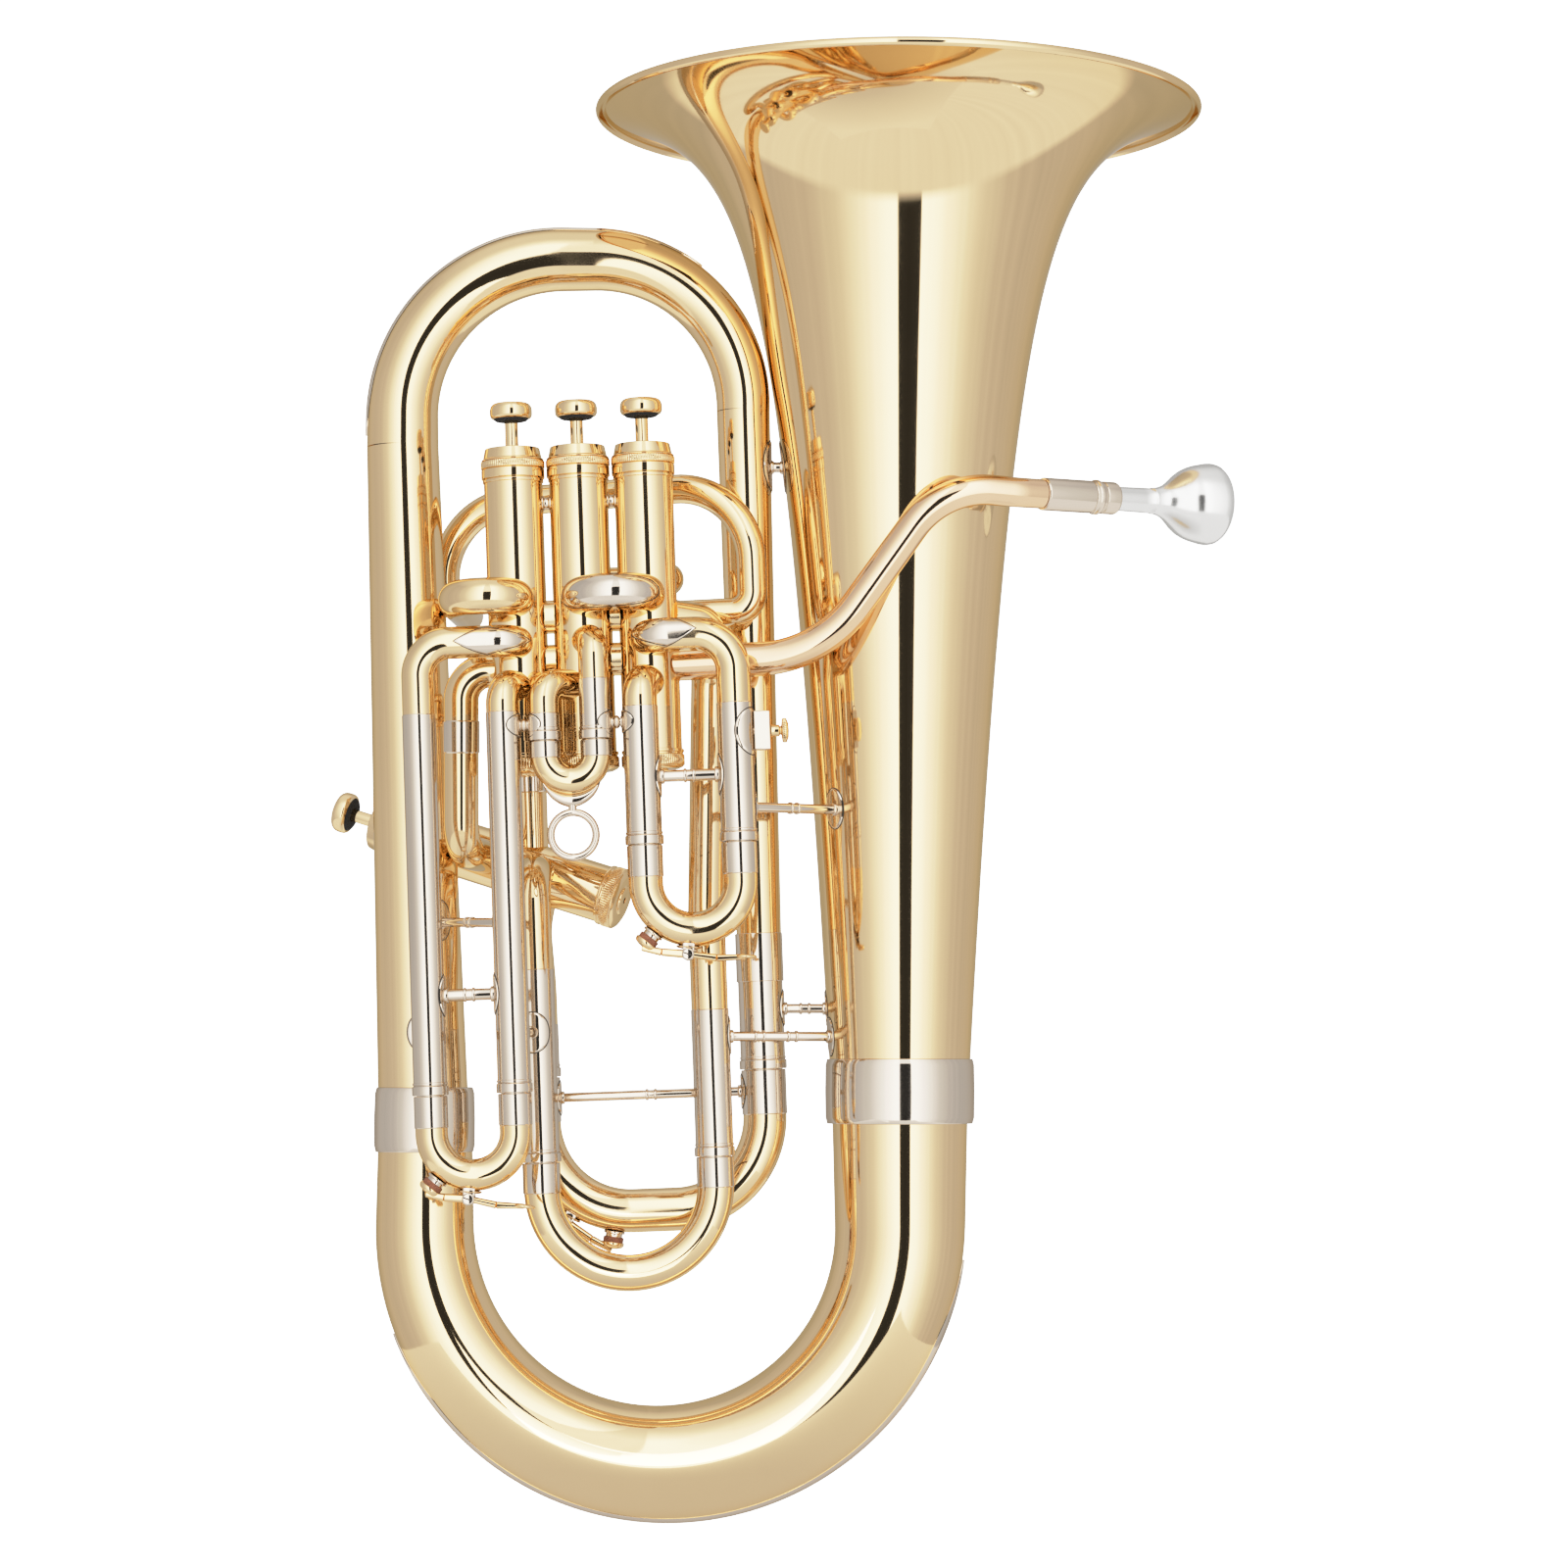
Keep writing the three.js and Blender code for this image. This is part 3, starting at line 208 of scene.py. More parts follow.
def ball(name, centre, axis, r, half, material, body="instrument"):
    """A bead on a rod: a short barrel with a full round."""
    profile = [(0, -half)]
    for k in range(1, 12):
        a = math.pi * k / 12
        profile.append((r * math.sin(a), -half * math.cos(a)))
    profile.append((0, half))
    return lathe(name, profile, centre, axis, material, body, 32, 0)


def knurl(name, base, axis, r, length, teeth, material, body="instrument", depth=0.32):
    """A knurled band: fine teeth round a ring, dying away at its two edges."""
    heights = [0, 0.35, 0.7, length * 0.5, length - 0.7, length - 0.35, length]
    swell = [-0.55, -0.12, 0, 0, 0, -0.12, -0.55]
    profile = [(r - 1.6, 0)] + [(r + s, h) for s, h in zip(swell, heights)] + [(r - 1.6, length)]

    def tooth(a, h):
        near = min(h, length - h)
        return -depth * abs(math.sin(a * teeth / 2)) if near > 0.5 else 0

    return lathe(name, profile, base, axis, material, body, teeth * 4, 0, tooth, 40.0)


class Tube:
    """A smooth route with a width at every distance along it."""

    def __init__(self, corners, bends=(), marks=((0, 1),), step=4.0):
        self.stations = []
        self._put(corners[0], (corners[1] - corners[0]).normalized())
        for i in range(1, len(corners) - 1):
            into = (corners[i] - corners[i - 1]).normalized()
            out = (corners[i + 1] - corners[i]).normalized()
            turn = into.angle(out)
            r = bends[i - 1]
            start = corners[i] - into * (r * math.tan(turn / 2))
            inward = (out - into * into.dot(out)).normalized()
            centre = start + inward * r
            steps = max(2, math.ceil(math.degrees(turn) / step))
            for k in range(steps + 1):
                a = turn * k / steps
                p = centre + into * (r * math.sin(a)) - inward * (r * math.cos(a))
                self._put(p, into * math.cos(a) + inward * math.sin(a))
        self._put(corners[-1], (corners[-1] - corners[-2]).normalized())
        self._finish(marks)

    def _put(self, p, t):
        if self.stations and (self.stations[-1][0] - p).length < 0.02:
            return
        self.stations.append((p.copy(), t.copy()))

    def _finish(self, marks):
        self.far = [0.0]
        for a, b in zip(self.stations, self.stations[1:]):
            self.far.append(self.far[-1] + (b[0] - a[0]).length)
        self.length = self.far[-1]
        self.marks = sorted((d if d >= 0 else self.length + d, r) for d, r in marks)
        n, b = cross_frame(self.stations[0][1])
        self.frames = [(n, b)]
        for a, c in zip(self.stations, self.stations[1:]):
            turn = a[1].rotation_difference(c[1])
            n, b = turn @ n, turn @ b
            self.frames.append((n, b))

    def width(self, d):
        marks = self.marks
        if d <= marks[0][0]:
            return marks[0][1]
        for (d0, r0), (d1, r1) in zip(marks, marks[1:]):
            if d <= d1:
                return r0 if d1 == d0 else lerp(r0, r1, (d - d0) / (d1 - d0))
        return marks[-1][1]

    def place(self, d):
        """The centre, the heading and two directions across at a distance along the tube."""
        d = min(max(d, 0), self.length)
        i = 1
        while i < len(self.far) - 1 and self.far[i] < d:
            i += 1
        span = self.far[i] - self.far[i - 1]
        f = (d - self.far[i - 1]) / span
        mix = [self.stations[i - 1][k].lerp(self.stations[i][k], f) for k in (0, 1)]
        n = self.frames[i - 1][0].lerp(self.frames[i][0], f).normalized()
        b = self.frames[i - 1][1].lerp(self.frames[i][1], f).normalized()
        return mix[0], mix[1].normalized(), n, b

    def on(self, d, angle, proud=0.0):
        p, _, n, b = self.place(d)
        return p + (n * math.cos(angle) + b * math.sin(angle)) * (self.width(d) + proud)

    def facing(self, d, direction):
        """The angle round the tube that faces a direction."""
        _, _, n, b = self.place(d)
        return math.atan2(direction.dot(b), direction.dot(n))

    def draw(
        self, name, material, body="instrument", start=0.0, end=None, sides=48, wall=None, step=12.0,
        edge=0.25,
    ):
        """The tube between two distances; with a wall it is open at both ends."""
        end = self.length if end is None else end
        end = end if end > 0 else self.length + end
        stops = {start, end, start + edge, end - edge}
        stops |= {d for d in self.far if start < d < end}
        stops |= {d for d, _ in self.marks if start < d < end}
        span = end - start
        stops |= {start + span * k / max(1, round(span / step)) for k in range(round(span / step))}
        ordered = sorted(stops)
        kept = [ordered[0]]
        kept.extend(b for a, b in zip(ordered, ordered[1:]) if b - kept[-1] > 0.05)
        rings = []

        def ring(d, r):
            p, _, n, b = self.place(d)
            return [
                p + (
                    b * math.sin(2 * math.pi * k / sides) + n * math.cos(2 * math.pi * k / sides)
                ) * r for k in range(sides)
            ]

        for d in kept:
            drop = edge * 0.8 if d in (kept[0], kept[-1]) else 0
            rings.append(ring(d, self.width(d) - drop))
        if wall:
            rings.extend(ring(d, self.width(d) - wall) for d in reversed(kept))
            points, faces = skin(rings, True)
        else:
            rings.insert(0, [self.place(start)[0]])
            rings.append([self.place(end)[0]])
            points, faces = skin(rings, False)
        return new_mesh(name, points, faces, material, body)

    def patch(
        self, name, d, angle, half_along, half_round, material, shape="oval", body="instrument", thick=0.5,
        lift=0.12,
    ):
        """A thin plate let onto the tube's skin: an oval or a diamond, with a rounded edge."""
        rows = 14
        count = 48
        radius = self.width(d)
        power = 1.08 if shape == "diamond" else 2.0
        tops, feet = [], []
        for i in range(rows + 1):
            f = i / rows
            swell = thick * (1 - max(0.0, (f - 0.9) / 0.1) ** 2)
            top, foot = [], []
            for k in range(count):
                a = 2 * math.pi * k / count
                c, s = math.cos(a), math.sin(a)
                reach = (abs(c) ** power + abs(s) ** power) ** (-1 / power)
                along = d + half_along * f * c * reach
                turn = angle + half_round * f * s * reach / radius
                top.append(self.on(along, turn, lift + swell))
                foot.append(self.on(along, turn, -0.4))
            tops.append(top if i else [self.on(d, angle, lift + thick)])
            feet.append(foot if i else [self.on(d, angle, -0.4)])
        points, faces = skin(tops + feet[::-1], False)
        self.outline(f"{name}_seam", d, angle, half_along, half_round, power, body)
        return new_mesh(name, points, faces, material, body)

    def outline(self, name, d, angle, half_along, half_round, power, body):
        """The fine dark line round a plate, where its edge meets the tube."""
        count = 72
        radius = self.width(d)
        rings = []
        for k in range(count):
            a = 2 * math.pi * k / count
            c, s = math.cos(a), math.sin(a)
            reach = (abs(c) ** power + abs(s) ** power) ** (-1 / power)
            ring = []
            for grow, proud in ((-0.15, -0.3), (-0.15, 0.2), (SEAM_LINE, 0.2), (SEAM_LINE, -0.3)):
                along = d + (half_along + grow) * c * reach
                turn = angle + (half_round + grow) * s * reach / radius
                ring.append(self.on(along, turn, proud))
            rings.append(ring)
        points, faces = skin(rings, True)
        return new_mesh(name, points, faces, "shadow", body)


def straight(start, end, r):
    return Tube([start, end], (), ((0, r),))


def brace(
    name, start_tube, start_d, end_tube, end_d, r=2.9, plates=(True, True), body="instrument",
    oval=(10.0, 6.6), beads=(0.5,),
):
    """A soldered brace: a nickel rod between two tubes, with beads and an oval plate at each end."""
    a, _, _, _ = start_tube.place(start_d)
    b, _, _, _ = end_tube.place(end_d)
    way = (b - a).normalized()
    start = a + way * (start_tube.width(start_d) - 0.4)
    end = b - way * (end_tube.width(end_d) - 0.4)
    post(f"{name}_rod", start, end, r, "nickel", body, 0.1)
    span = (end - start).length
    for i, f in enumerate(beads):
        centre = start.lerp(end, f)
        for side in (-1, 1):
            band(
                f"{name}_bead_{i}_{'ab'[side > 0]}", centre + way * (side * 2.1 - 0.7), way, 1.4, r + 0.55,
                r - 0.6, "nickel", body, 0.5, 32,
            )
    for i, (tube, d, direction) in enumerate(((start_tube, start_d, way), (end_tube, end_d, -way))):
        if not plates[i]:
            continue
        angle = tube.facing(d, direction)
        tube.patch(f"{name}_plate_{'ab'[i]}", d, angle, oval[0], oval[1], "nickel", body=body)
        foot = (start, end)[i]
        band(
            f"{name}_foot_{'ab'[i]}", foot + direction * 0.2, direction, min(2.2, span * 0.2), r + 0.9,
            r - 0.6, "nickel", body, 0.8, 32,
        )


# ---------------------------------------------------------------- materials

def socket(node, name, value):
    node.inputs[name].default_value = value


class Graph:
    """A material's nodes, with the small chains that its variation is made of."""

    def __init__(self, name):
        self.material = bpy.data.materials.new(name)
        self.material.use_nodes = True
        self.nodes = self.material.node_tree.nodes
        self.links = self.material.node_tree.links
        self.shader = self.nodes["Principled BSDF"]
        self.place = self.nodes.new("ShaderNodeTexCoord").outputs["Object"]

    def noise(self, scale, detail=3.0, rough=0.55, stretch=None):
        source = self.place
        if stretch:
            mapping = self.nodes.new("ShaderNodeMapping")
            socket(mapping, "Scale", stretch)
            self.links.new(source, mapping.inputs["Vector"])
            source = mapping.outputs["Vector"]
        noise = self.nodes.new("ShaderNodeTexNoise")
        socket(noise, "Scale", scale)
        socket(noise, "Detail", detail)
        socket(noise, "Roughness", rough)
        self.links.new(source, noise.inputs["Vector"])
        return noise.outputs["Fac"]

    def ramp(self, value, low, high, start, end):
        node = self.nodes.new("ShaderNodeMapRange")
        for key, number in (("From Min", low), ("From Max", high), ("To Min", start), ("To Max", end)):
            socket(node, key, number)
        self.links.new(value, node.inputs["Value"])
        return node.outputs["Result"]

    def mix(self, factor, a, b):
        node = self.nodes.new("ShaderNodeMix")
        node.data_type = "RGBA"
        node.inputs["A"].default_value = (*a, 1)
        node.inputs["B"].default_value = (*b, 1)
        self.links.new(factor, node.inputs["Factor"])
        return node.outputs["Result"]

    def bump(self, heights):
        last = None
        for value, strength, distance in heights:
            node = self.nodes.new("ShaderNodeBump")
            socket(node, "Strength", strength)
            socket(node, "Distance", distance)
            self.links.new(value, node.inputs["Height"])
            if last:
                self.links.new(last, node.inputs["Normal"])
            last = node.outputs["Normal"]
        self.links.new(last, self.shader.inputs["Normal"])


def metal(name, colour, deep, roughness, edge, coat=0.0, grain=0.25):
    """A polished metal: tone that drifts a little, a haze that varies, and hair-fine polishing marks."""
    g = Graph(name)
    socket(g.shader, "Metallic", 1.0)
    if coat:
        socket(g.shader, "Coat Weight", coat)
        socket(g.shader, "Coat Roughness", 0.04)
        socket(g.shader, "Coat IOR", 1.45)
    socket(g.shader, "Specular Tint", (*edge, 1))
    tone = g.ramp(g.noise(9.0, 4.0), 0.35, 0.68, 0.0, 1.0)
    g.links.new(g.mix(tone, colour, deep), g.shader.inputs["Base Color"])
    haze = g.ramp(g.noise(26.0, 5.0), 0.3, 0.7, roughness * 0.75, roughness * 1.35)
    g.links.new(haze, g.shader.inputs["Roughness"])
    ripple = g.noise(14.0, 2.0)
    marks = g.noise(900.0, 2.0, 0.6, (1.0, 1.0, 0.06))
    g.bump([(ripple, 0.015, 0.0006), (marks, grain * 0.06, 0.00002)])
    return g.material


def soft(name, colour, deep, roughness, scale, depth):
    """Cork or felt: mottled colour over a grainy surface."""
    g = Graph(name)
    mottle = g.ramp(g.noise(scale, 6.0, 0.7), 0.35, 0.65, 0.0, 1.0)
    g.links.new(g.mix(mottle, colour, deep), g.shader.inputs["Base Color"])
    socket(g.shader, "Roughness", roughness)
    g.bump([(g.noise(scale * 2.5, 4.0, 0.7), 0.6, depth)])
    return g.material


BRASS_EDGE = (0.86, 0.74, 0.52)
NICKEL_EDGE = (0.74, 0.65, 0.55)
SILVER_EDGE = (0.9, 0.89, 0.87)
METALS = {
    "lacquer": (
        metal("lacquered_brass", (0.94, 0.71, 0.43), (0.91, 0.685, 0.405), 0.05, BRASS_EDGE, 0.1),
        "lacquered_brass",
    ),
    "nickel": (
        metal("nickel_silver", (0.80, 0.70, 0.59), (0.76, 0.66, 0.55), 0.07, NICKEL_EDGE), "nickel_silver",
    ),
    "rose": (
        metal("rose_brass", (0.93, 0.665, 0.445), (0.89, 0.62, 0.40), 0.06, BRASS_EDGE, 0.12), "rose_brass",
    ),
    "silver": (
        metal("silver_plate", (0.93, 0.92, 0.90), (0.89, 0.88, 0.86), 0.2, SILVER_EDGE), "silver_plate",
    ),
    "steel": (
        metal("spring_steel", (0.55, 0.55, 0.56), (0.48, 0.48, 0.49), 0.25, NICKEL_EDGE), "spring_steel",
    ),
    "monel": (metal("valve_alloy", (0.62, 0.60, 0.56), (0.55, 0.53, 0.5), 0.2, NICKEL_EDGE), "valve_alloy"),
    "felt": (soft("black_felt", (0.012, 0.012, 0.013), (0.03, 0.03, 0.032), 0.95, 900.0, 0.0002), None),
    "cork": (soft("cork", (0.36, 0.13, 0.07), (0.22, 0.08, 0.04), 0.8, 420.0, 0.0003), None),
    "shadow": (soft("seam_shadow", (0.05, 0.04, 0.03), (0.08, 0.065, 0.05), 0.7, 200.0, 0.0001), None),
}

# ---------------------------------------------------------------- bell, bows and branches


def flare(z):
    """The bell's radius at a height, a slow cone that runs away near the rim."""
    return -1.24 + 0.0299 * (z - 196) + 332.4 * (RIM_HEIGHT - z + 12) ** -0.3619


bell_base = V((HALF_SPAN, 0, 0))
outer_foot = V((OUTER_FOOT_X, 0, BRANCH_FOOT))
outer_top = V((OUTER_TOP_X, 0, BRANCH_TOP))
inner_foot = V((INNER_FOOT_X, 0, INNER_FOOT))
inner_top = V((INNER_TOP_X, 0, INNER_TOP))


def draw_bell():
    count = 90
    heights = [BELL_FOOT + (RIM_HEIGHT - BELL_FOOT) * (1 - (1 - i / count) ** 2.3) for i in range(count + 1)]
    outside = [(flare(z), z) for z in heights]
    wire = []
    for k in range(17):
        a = math.radians(-70 + 290 * k / 16)
        wire.append((RIM_R + 0.1 + 2.45 * math.cos(a), RIM_HEIGHT - 0.4 + 2.3 * math.sin(a)))
    inside = [(r - 0.9, z) for r, z in reversed(outside[:-3])]
    bell = lathe(
        "bell_flare", outside[:-1] + wire + inside, bell_base, BELL_AXIS, "lacquer", sides=180, edge=0,
        sharp=50,
    )
    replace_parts(bell, "bell")
    ferrule = lathe(
        "bell_ferrule_band",
        [(35.2, 196), (36.1, 196), (36.9, 199), (37.1, 212), (36.9, 225), (36.2, 228), (35.2, 228)],
        bell_base, BELL_AXIS, "nickel", sides=128, edge=1.2,
    )
    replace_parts(ferrule, "bell_ferrule")


def draw_main_tubing():
    bow = Tube(
        [V((-HALF_SPAN, 0, BRANCH_FOOT - 1)), V((-HALF_SPAN, 0, BOW_CENTRE - HALF_SPAN)),
         V((HALF_SPAN, 0, BOW_CENTRE - HALF_SPAN)), V((HALF_SPAN, 0, BELL_FOOT + 6))],
        (HALF_SPAN, HALF_SPAN), (), 2.5,
    )
    bow.marks = [(0, BOW_LEFT_R - 0.2), (bow.length, BOW_BELL_R)]
    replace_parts(bow.draw("bottom_bow_tube", "lacquer", sides=96), "bottom_bow")
    guard = guard_strip("bottom_bow_guard_strip", bow, 97, bow.length - 86, 0.42)
    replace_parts(guard, "bottom_bow_guard")

    ferrule = lathe(
        "branch_ferrule_band",
        [(23.6, 182), (24.2, 182), (24.9, 185), (25.0, 198), (24.6, 211), (23.8, 214), (22.0, 214)],
        V((-HALF_SPAN - 0.4, 0, 0)), BELL_AXIS, "nickel", sides=112, edge=1.0,
    )
    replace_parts(ferrule, "branch_ferrule")
    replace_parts(OUTER.draw("outer_branch_tube", "lacquer", sides=80, edge=0.01), "outer_branch")

    top = Tube(
        [V((OUTER_TOP_X, 0, BRANCH_TOP)), V((OUTER_TOP_X, 0, TOP_BOW_HEIGHT)),
         V((INNER_TOP_X, 0, TOP_BOW_HEIGHT)), V((INNER_TOP_X, 0, INNER_TOP))],
        (80, 74.5), (), 3.0,
    )
    top.marks = [(0, 17.9), (top.length, 13.3)]
    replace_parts(top.draw("top_bow_tube", "lacquer", sides=80, edge=0.01), "top_bow")
    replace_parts(guard_strip("top_bow_guard_strip", top, 6, 205, 0.42), "top_bow_guard")
    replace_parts(INNER.draw("inner_branch_tube", "lacquer", sides=80, edge=0.01), "inner_branch")
    height = (524 - INNER_FOOT) / (INNER_TOP - INNER_FOOT) * INNER.length
    brace("bell_brace_high", INNER, height, BELL_SKIN, 524 - BELL_FOOT, 2.6, oval=(13, 10))


def guard_strip(name, tube, start, end, half_angle):
    """A strip along the outside of a bow, pointed at both ends, standing a little proud."""
    steps, across = 96, 14
    tops, feet = [], []
    outward = V((0, 0, 0))
    for s, _ in tube.stations:
        outward += s / len(tube.stations)
    for i in range(steps + 1):
        f = i / steps
        d = lerp(start, end, f)
        p = tube.place(d)[0]
        away = p - outward
        away.y = 0
        middle = tube.facing(d, away.normalized())
        width = half_angle * min(1.0, (min(f, 1 - f) * 9) ** 0.6 + 0.06)
        top, foot = [], []
        for k in range(across + 1):
            g = 2 * k / across - 1
            rise = 0.95 * min(1.0, (1 - abs(g)) * 5 + 0.15)
            top.append(tube.on(d, middle + width * g, rise))
            foot.append(tube.on(d, middle + width * g, -0.4))
        tops.append(top)
        feet.append(foot)
    rings = [t + f[::-1] for t, f in zip(tops, feet)]
    points, faces = skin(rings, False)
    n = len(rings[0])
    faces.append(tuple(range(n - 1, -1, -1)))
    last = len(points) - n
    faces.append(tuple(range(last, last + n)))
    return new_mesh(name, points, faces, "nickel", sharp=40)


OUTER = Tube([outer_foot, outer_top], (), ((0, 22.4), ((outer_top - outer_foot).length, 17.9)))
INNER = Tube([inner_foot, inner_top], (), ((0, 11.1), ((inner_top - inner_foot).length, 13.3)))
BELL_SKIN = Tube(
    [V((HALF_SPAN, 0, BELL_FOOT)), V((HALF_SPAN, 0, 640))], (),
    [(z - BELL_FOOT, flare(z)) for z in range(213, 640, 6)],
)

# ---------------------------------------------------------------- valves

VALVES = [
    {"n": n, "origin": at(PITCH * (2 - n), VALVE_Y, 0), "up": UP, "foot": FRONT_FOOT} for n in (1, 2, 3)
]
VALVES.append(
    {
        "n": 4, "origin": V((-100.1, 32.4, 333)), "up": V((-0.9228, 0.2447, 0.2967)).normalized(),
        "foot": SIDE_FOOT,
    }
)
VALVE_1, VALVE_2, VALVE_3, VALVE_4 = VALVES
STEM_TOP = 64.8


def valve_at(valve, height):
    return valve["origin"] + valve["up"] * height


def draw_valve(valve):
    n, foot, up = valve["n"], valve["foot"], valve["up"]
    base, rider = valve["origin"], f"valve_{n}"

    def turn(name, profile, material, body="instrument", sides=72, edge=0.4):
        return lathe(f"{name}_{n}", profile, base, up, material, body, sides, edge)

    shell = turn(
        "casing", [(CASING_R, foot + 9.5), (CASING_R, 36.5), (13.2, 36.5), (13.2, foot + 9.5)], "lacquer",
    )
    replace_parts(shell, f"valve_casing_{n}")
    turn(
        "casing_lip", [(13.6, 33.4), (CASING_R + 0.5, 33.4), (CASING_R + 0.5, 35.0), (13.6, 35.0)],
        "lacquer",
    )
    cap = turn(
        "cap_top",
        [(13.8, 35.4), (CAP_R, 35.4), (CAP_R, 39.9), (14.8, 40.0), (14.8, 44.2), (CAP_R - 0.2, 44.3),
         (CAP_R - 0.2, 44.8),
         (14.5, 45.1), (13.4, 50.4), (3.7, 50.4), (3.7, 48.5), (13.0, 43.5)],
        "lacquer",
    )
    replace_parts(cap, f"top_cap_{n}")
    knurl(f"cap_top_knurl_{n}", valve_at(valve, 40.2), up, CAP_R + 0.15, 4.0, 84, "lacquer", depth=0.26)
    under = turn(
        "cap_bottom",
        [(1.6, foot), (7.2, foot), (7.6, foot + 1.0), (12.2, foot + 1.0), (CAP_R - 0.7, foot + 2.2),
         (CAP_R - 0.7, foot + 9.0),
         (CAP_R - 0.2, foot + 9.2), (CAP_R - 0.2, foot + 10.6), (13.4, foot + 10.6), (13.4, foot + 3.2),
         (1.6, foot + 3.2)],
        "lacquer",
    )
    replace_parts(under, f"bottom_cap_{n}")
    knurl(f"cap_bottom_knurl_{n}", valve_at(valve, foot + 2.6), up, CAP_R, 5.6, 84, "lacquer", depth=0.26)
    core = turn(
        "piston_body", [(0, foot + 33), (12.8, foot + 33), (12.8, 20), (4.6, 22), (0, 22)], "monel", rider,
    )
    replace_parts(core, f"piston_{n}")
    turn(
        "piston_stem", [(0, 21), (3.2, 21), (3.2, STEM_TOP + 0.6), (0, STEM_TOP + 0.6)], "lacquer", rider,
        40,
    )
    low = STEM_TOP + 0.4
    knob = turn(
        "button",
        [(0, low + 0.9), (8.4, low + 0.9), (8.6, low), (9.7, low + 0.5), (10.35, low + 1.7),
         (10.4, low + 4.2), (10.1, low + 5.9),
         (9.2, low + 7.2), (7.9, low + 7.8), (6.8, low + 7.6), (0, low + 7.2)],
        "lacquer", rider, 72, 0.6,
    )
    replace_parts(knob, f"finger_button_{n}")
    turn(
        "button_felt",
        [(3.3, low - 0.9), (7.6, low - 0.9), (8.5, low + 0.1), (8.5, low + 1.0), (3.3, low + 1.0)], "felt",
        rider, 56, 0.4,
    )


def draw_spring(valve):
    """The CAD's spring stays, with a better material, because it is hidden inside the casing."""
    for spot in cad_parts[f"valve_spring_{valve['n']}"].material_slots:
        spot.material = METALS["steel"][0]


LINK_TUBES = (-33.2, -55.0)  # heights of what joins two front casings
LINK_POST = 23.0


def draw_links():
    """Short tubes and posts between the three front casings, each with its soldered collar."""
    for left, right in ((VALVE_3, VALVE_2), (VALVE_2, VALVE_1)):
        tag = f"{left['n']}_{right['n']}"
        for i, height in enumerate(LINK_TUBES):
            a, b = valve_at(left, height), valve_at(right, height)
            start, end = a + RIGHT * (CASING_R - 1), b - RIGHT * (CASING_R - 1)
            straight(start, end, 8.2).draw(f"link_{tag}_{i}", "lacquer", sides=48)
        a, b = valve_at(left, LINK_POST), valve_at(right, LINK_POST)
        gap = (b - a).length - 2 * CASING_R
        profile = [
            (0, -1.4), (4.0, -1.4), (3.9, 0.1), (2.8, 0.6), (2.8, gap - 0.6), (3.9, gap - 0.1),
            (4.0, gap + 1.4),
            (0, gap + 1.4),
        ]
        lathe(f"link_post_{tag}_0", profile, a + RIGHT * CASING_R, RIGHT, "nickel", sides=48, edge=0.3)


# ---------------------------------------------------------------- tuning slides

SLIDES = {
    "slide_1": {
        "left": 27.2, "right": 72.9, "y": SLIDE_Y, "r": 8.65, "end": -147.8, "leg": -163.5, "low": -189.5,
        "inner": (48, 48),
    },
    "slide_2": {
        "left": -19.4, "right": 5.4, "y": SLIDE_Y, "r": 7.6, "end": -95.8, "leg": -104.3, "low": -115.2,
        "inner": (18, 18),
    },
    "slide_3": {
        "left": -79.9, "right": -39.4, "y": SLIDE_Y, "r": 8.1, "end": -264.8, "leg": -280.5, "low": -303.5,
        "inner": (150, 150),
    },
    "slide_4": {
        "left": -30.4, "right": 55, "y": DEEP_SLIDE_Y, "r": 9.3, "end": -299.7, "leg": -315, "low": -355.3,
        "inner": (70, 60),
    },
    "main_slide": {
        "left": -32, "right": 80.2, "y": 0, "r": 11.1, "end": -258, "leg": -280.4, "low": -325.7,
        "inner": (20, 50),
    },
}
RING = 4.6
WIDEST_BEND = 45.3  # the radius of a wide bow's two corners


def leg_tube(slide, side, top, low, r=None):
    s = SLIDES[slide]
    return straight(at(s[side], s["y"], top), at(s[side], s["y"], low), s["r"] if r is None else r)


def sleeve(slide, side, top):
    """The nickel sleeve of a fixed leg, from its brass knuckle down to the ring at its end."""
    s = SLIDES[slide]
    tag = f"{slide}_sleeve_{side}"
    low, r = s["end"], s["r"]
    foot = at(s[side], s["y"], low)
    band(f"{tag}_ring", foot, UP, RING, r + 0.65, r - 1.2, "nickel", edge=0.7)
    band(f"{tag}_lip", foot + UP * (RING + 0.35), UP, 1.3, r + 0.35, r - 0.8, "nickel", edge=0.5)
    tube = leg_tube(slide, side, top, low + RING - 0.2)
    tube.draw(tag, "nickel", sides=56, wall=1.1, edge=0.3)
    return tube


def knuckle(name, slide, corners, bends, top, side):
    """The brass part of a fixed leg, from the valve to where its nickel sleeve starts."""
    s = SLIDES[slide]
    r = s["r"] - 0.25
    tube = Tube([*corners, at(s[side], s["y"], top - 1.2)], bends, ((0, r),), 5)
    tube.draw(name, "lacquer", sides=56)
    return tube


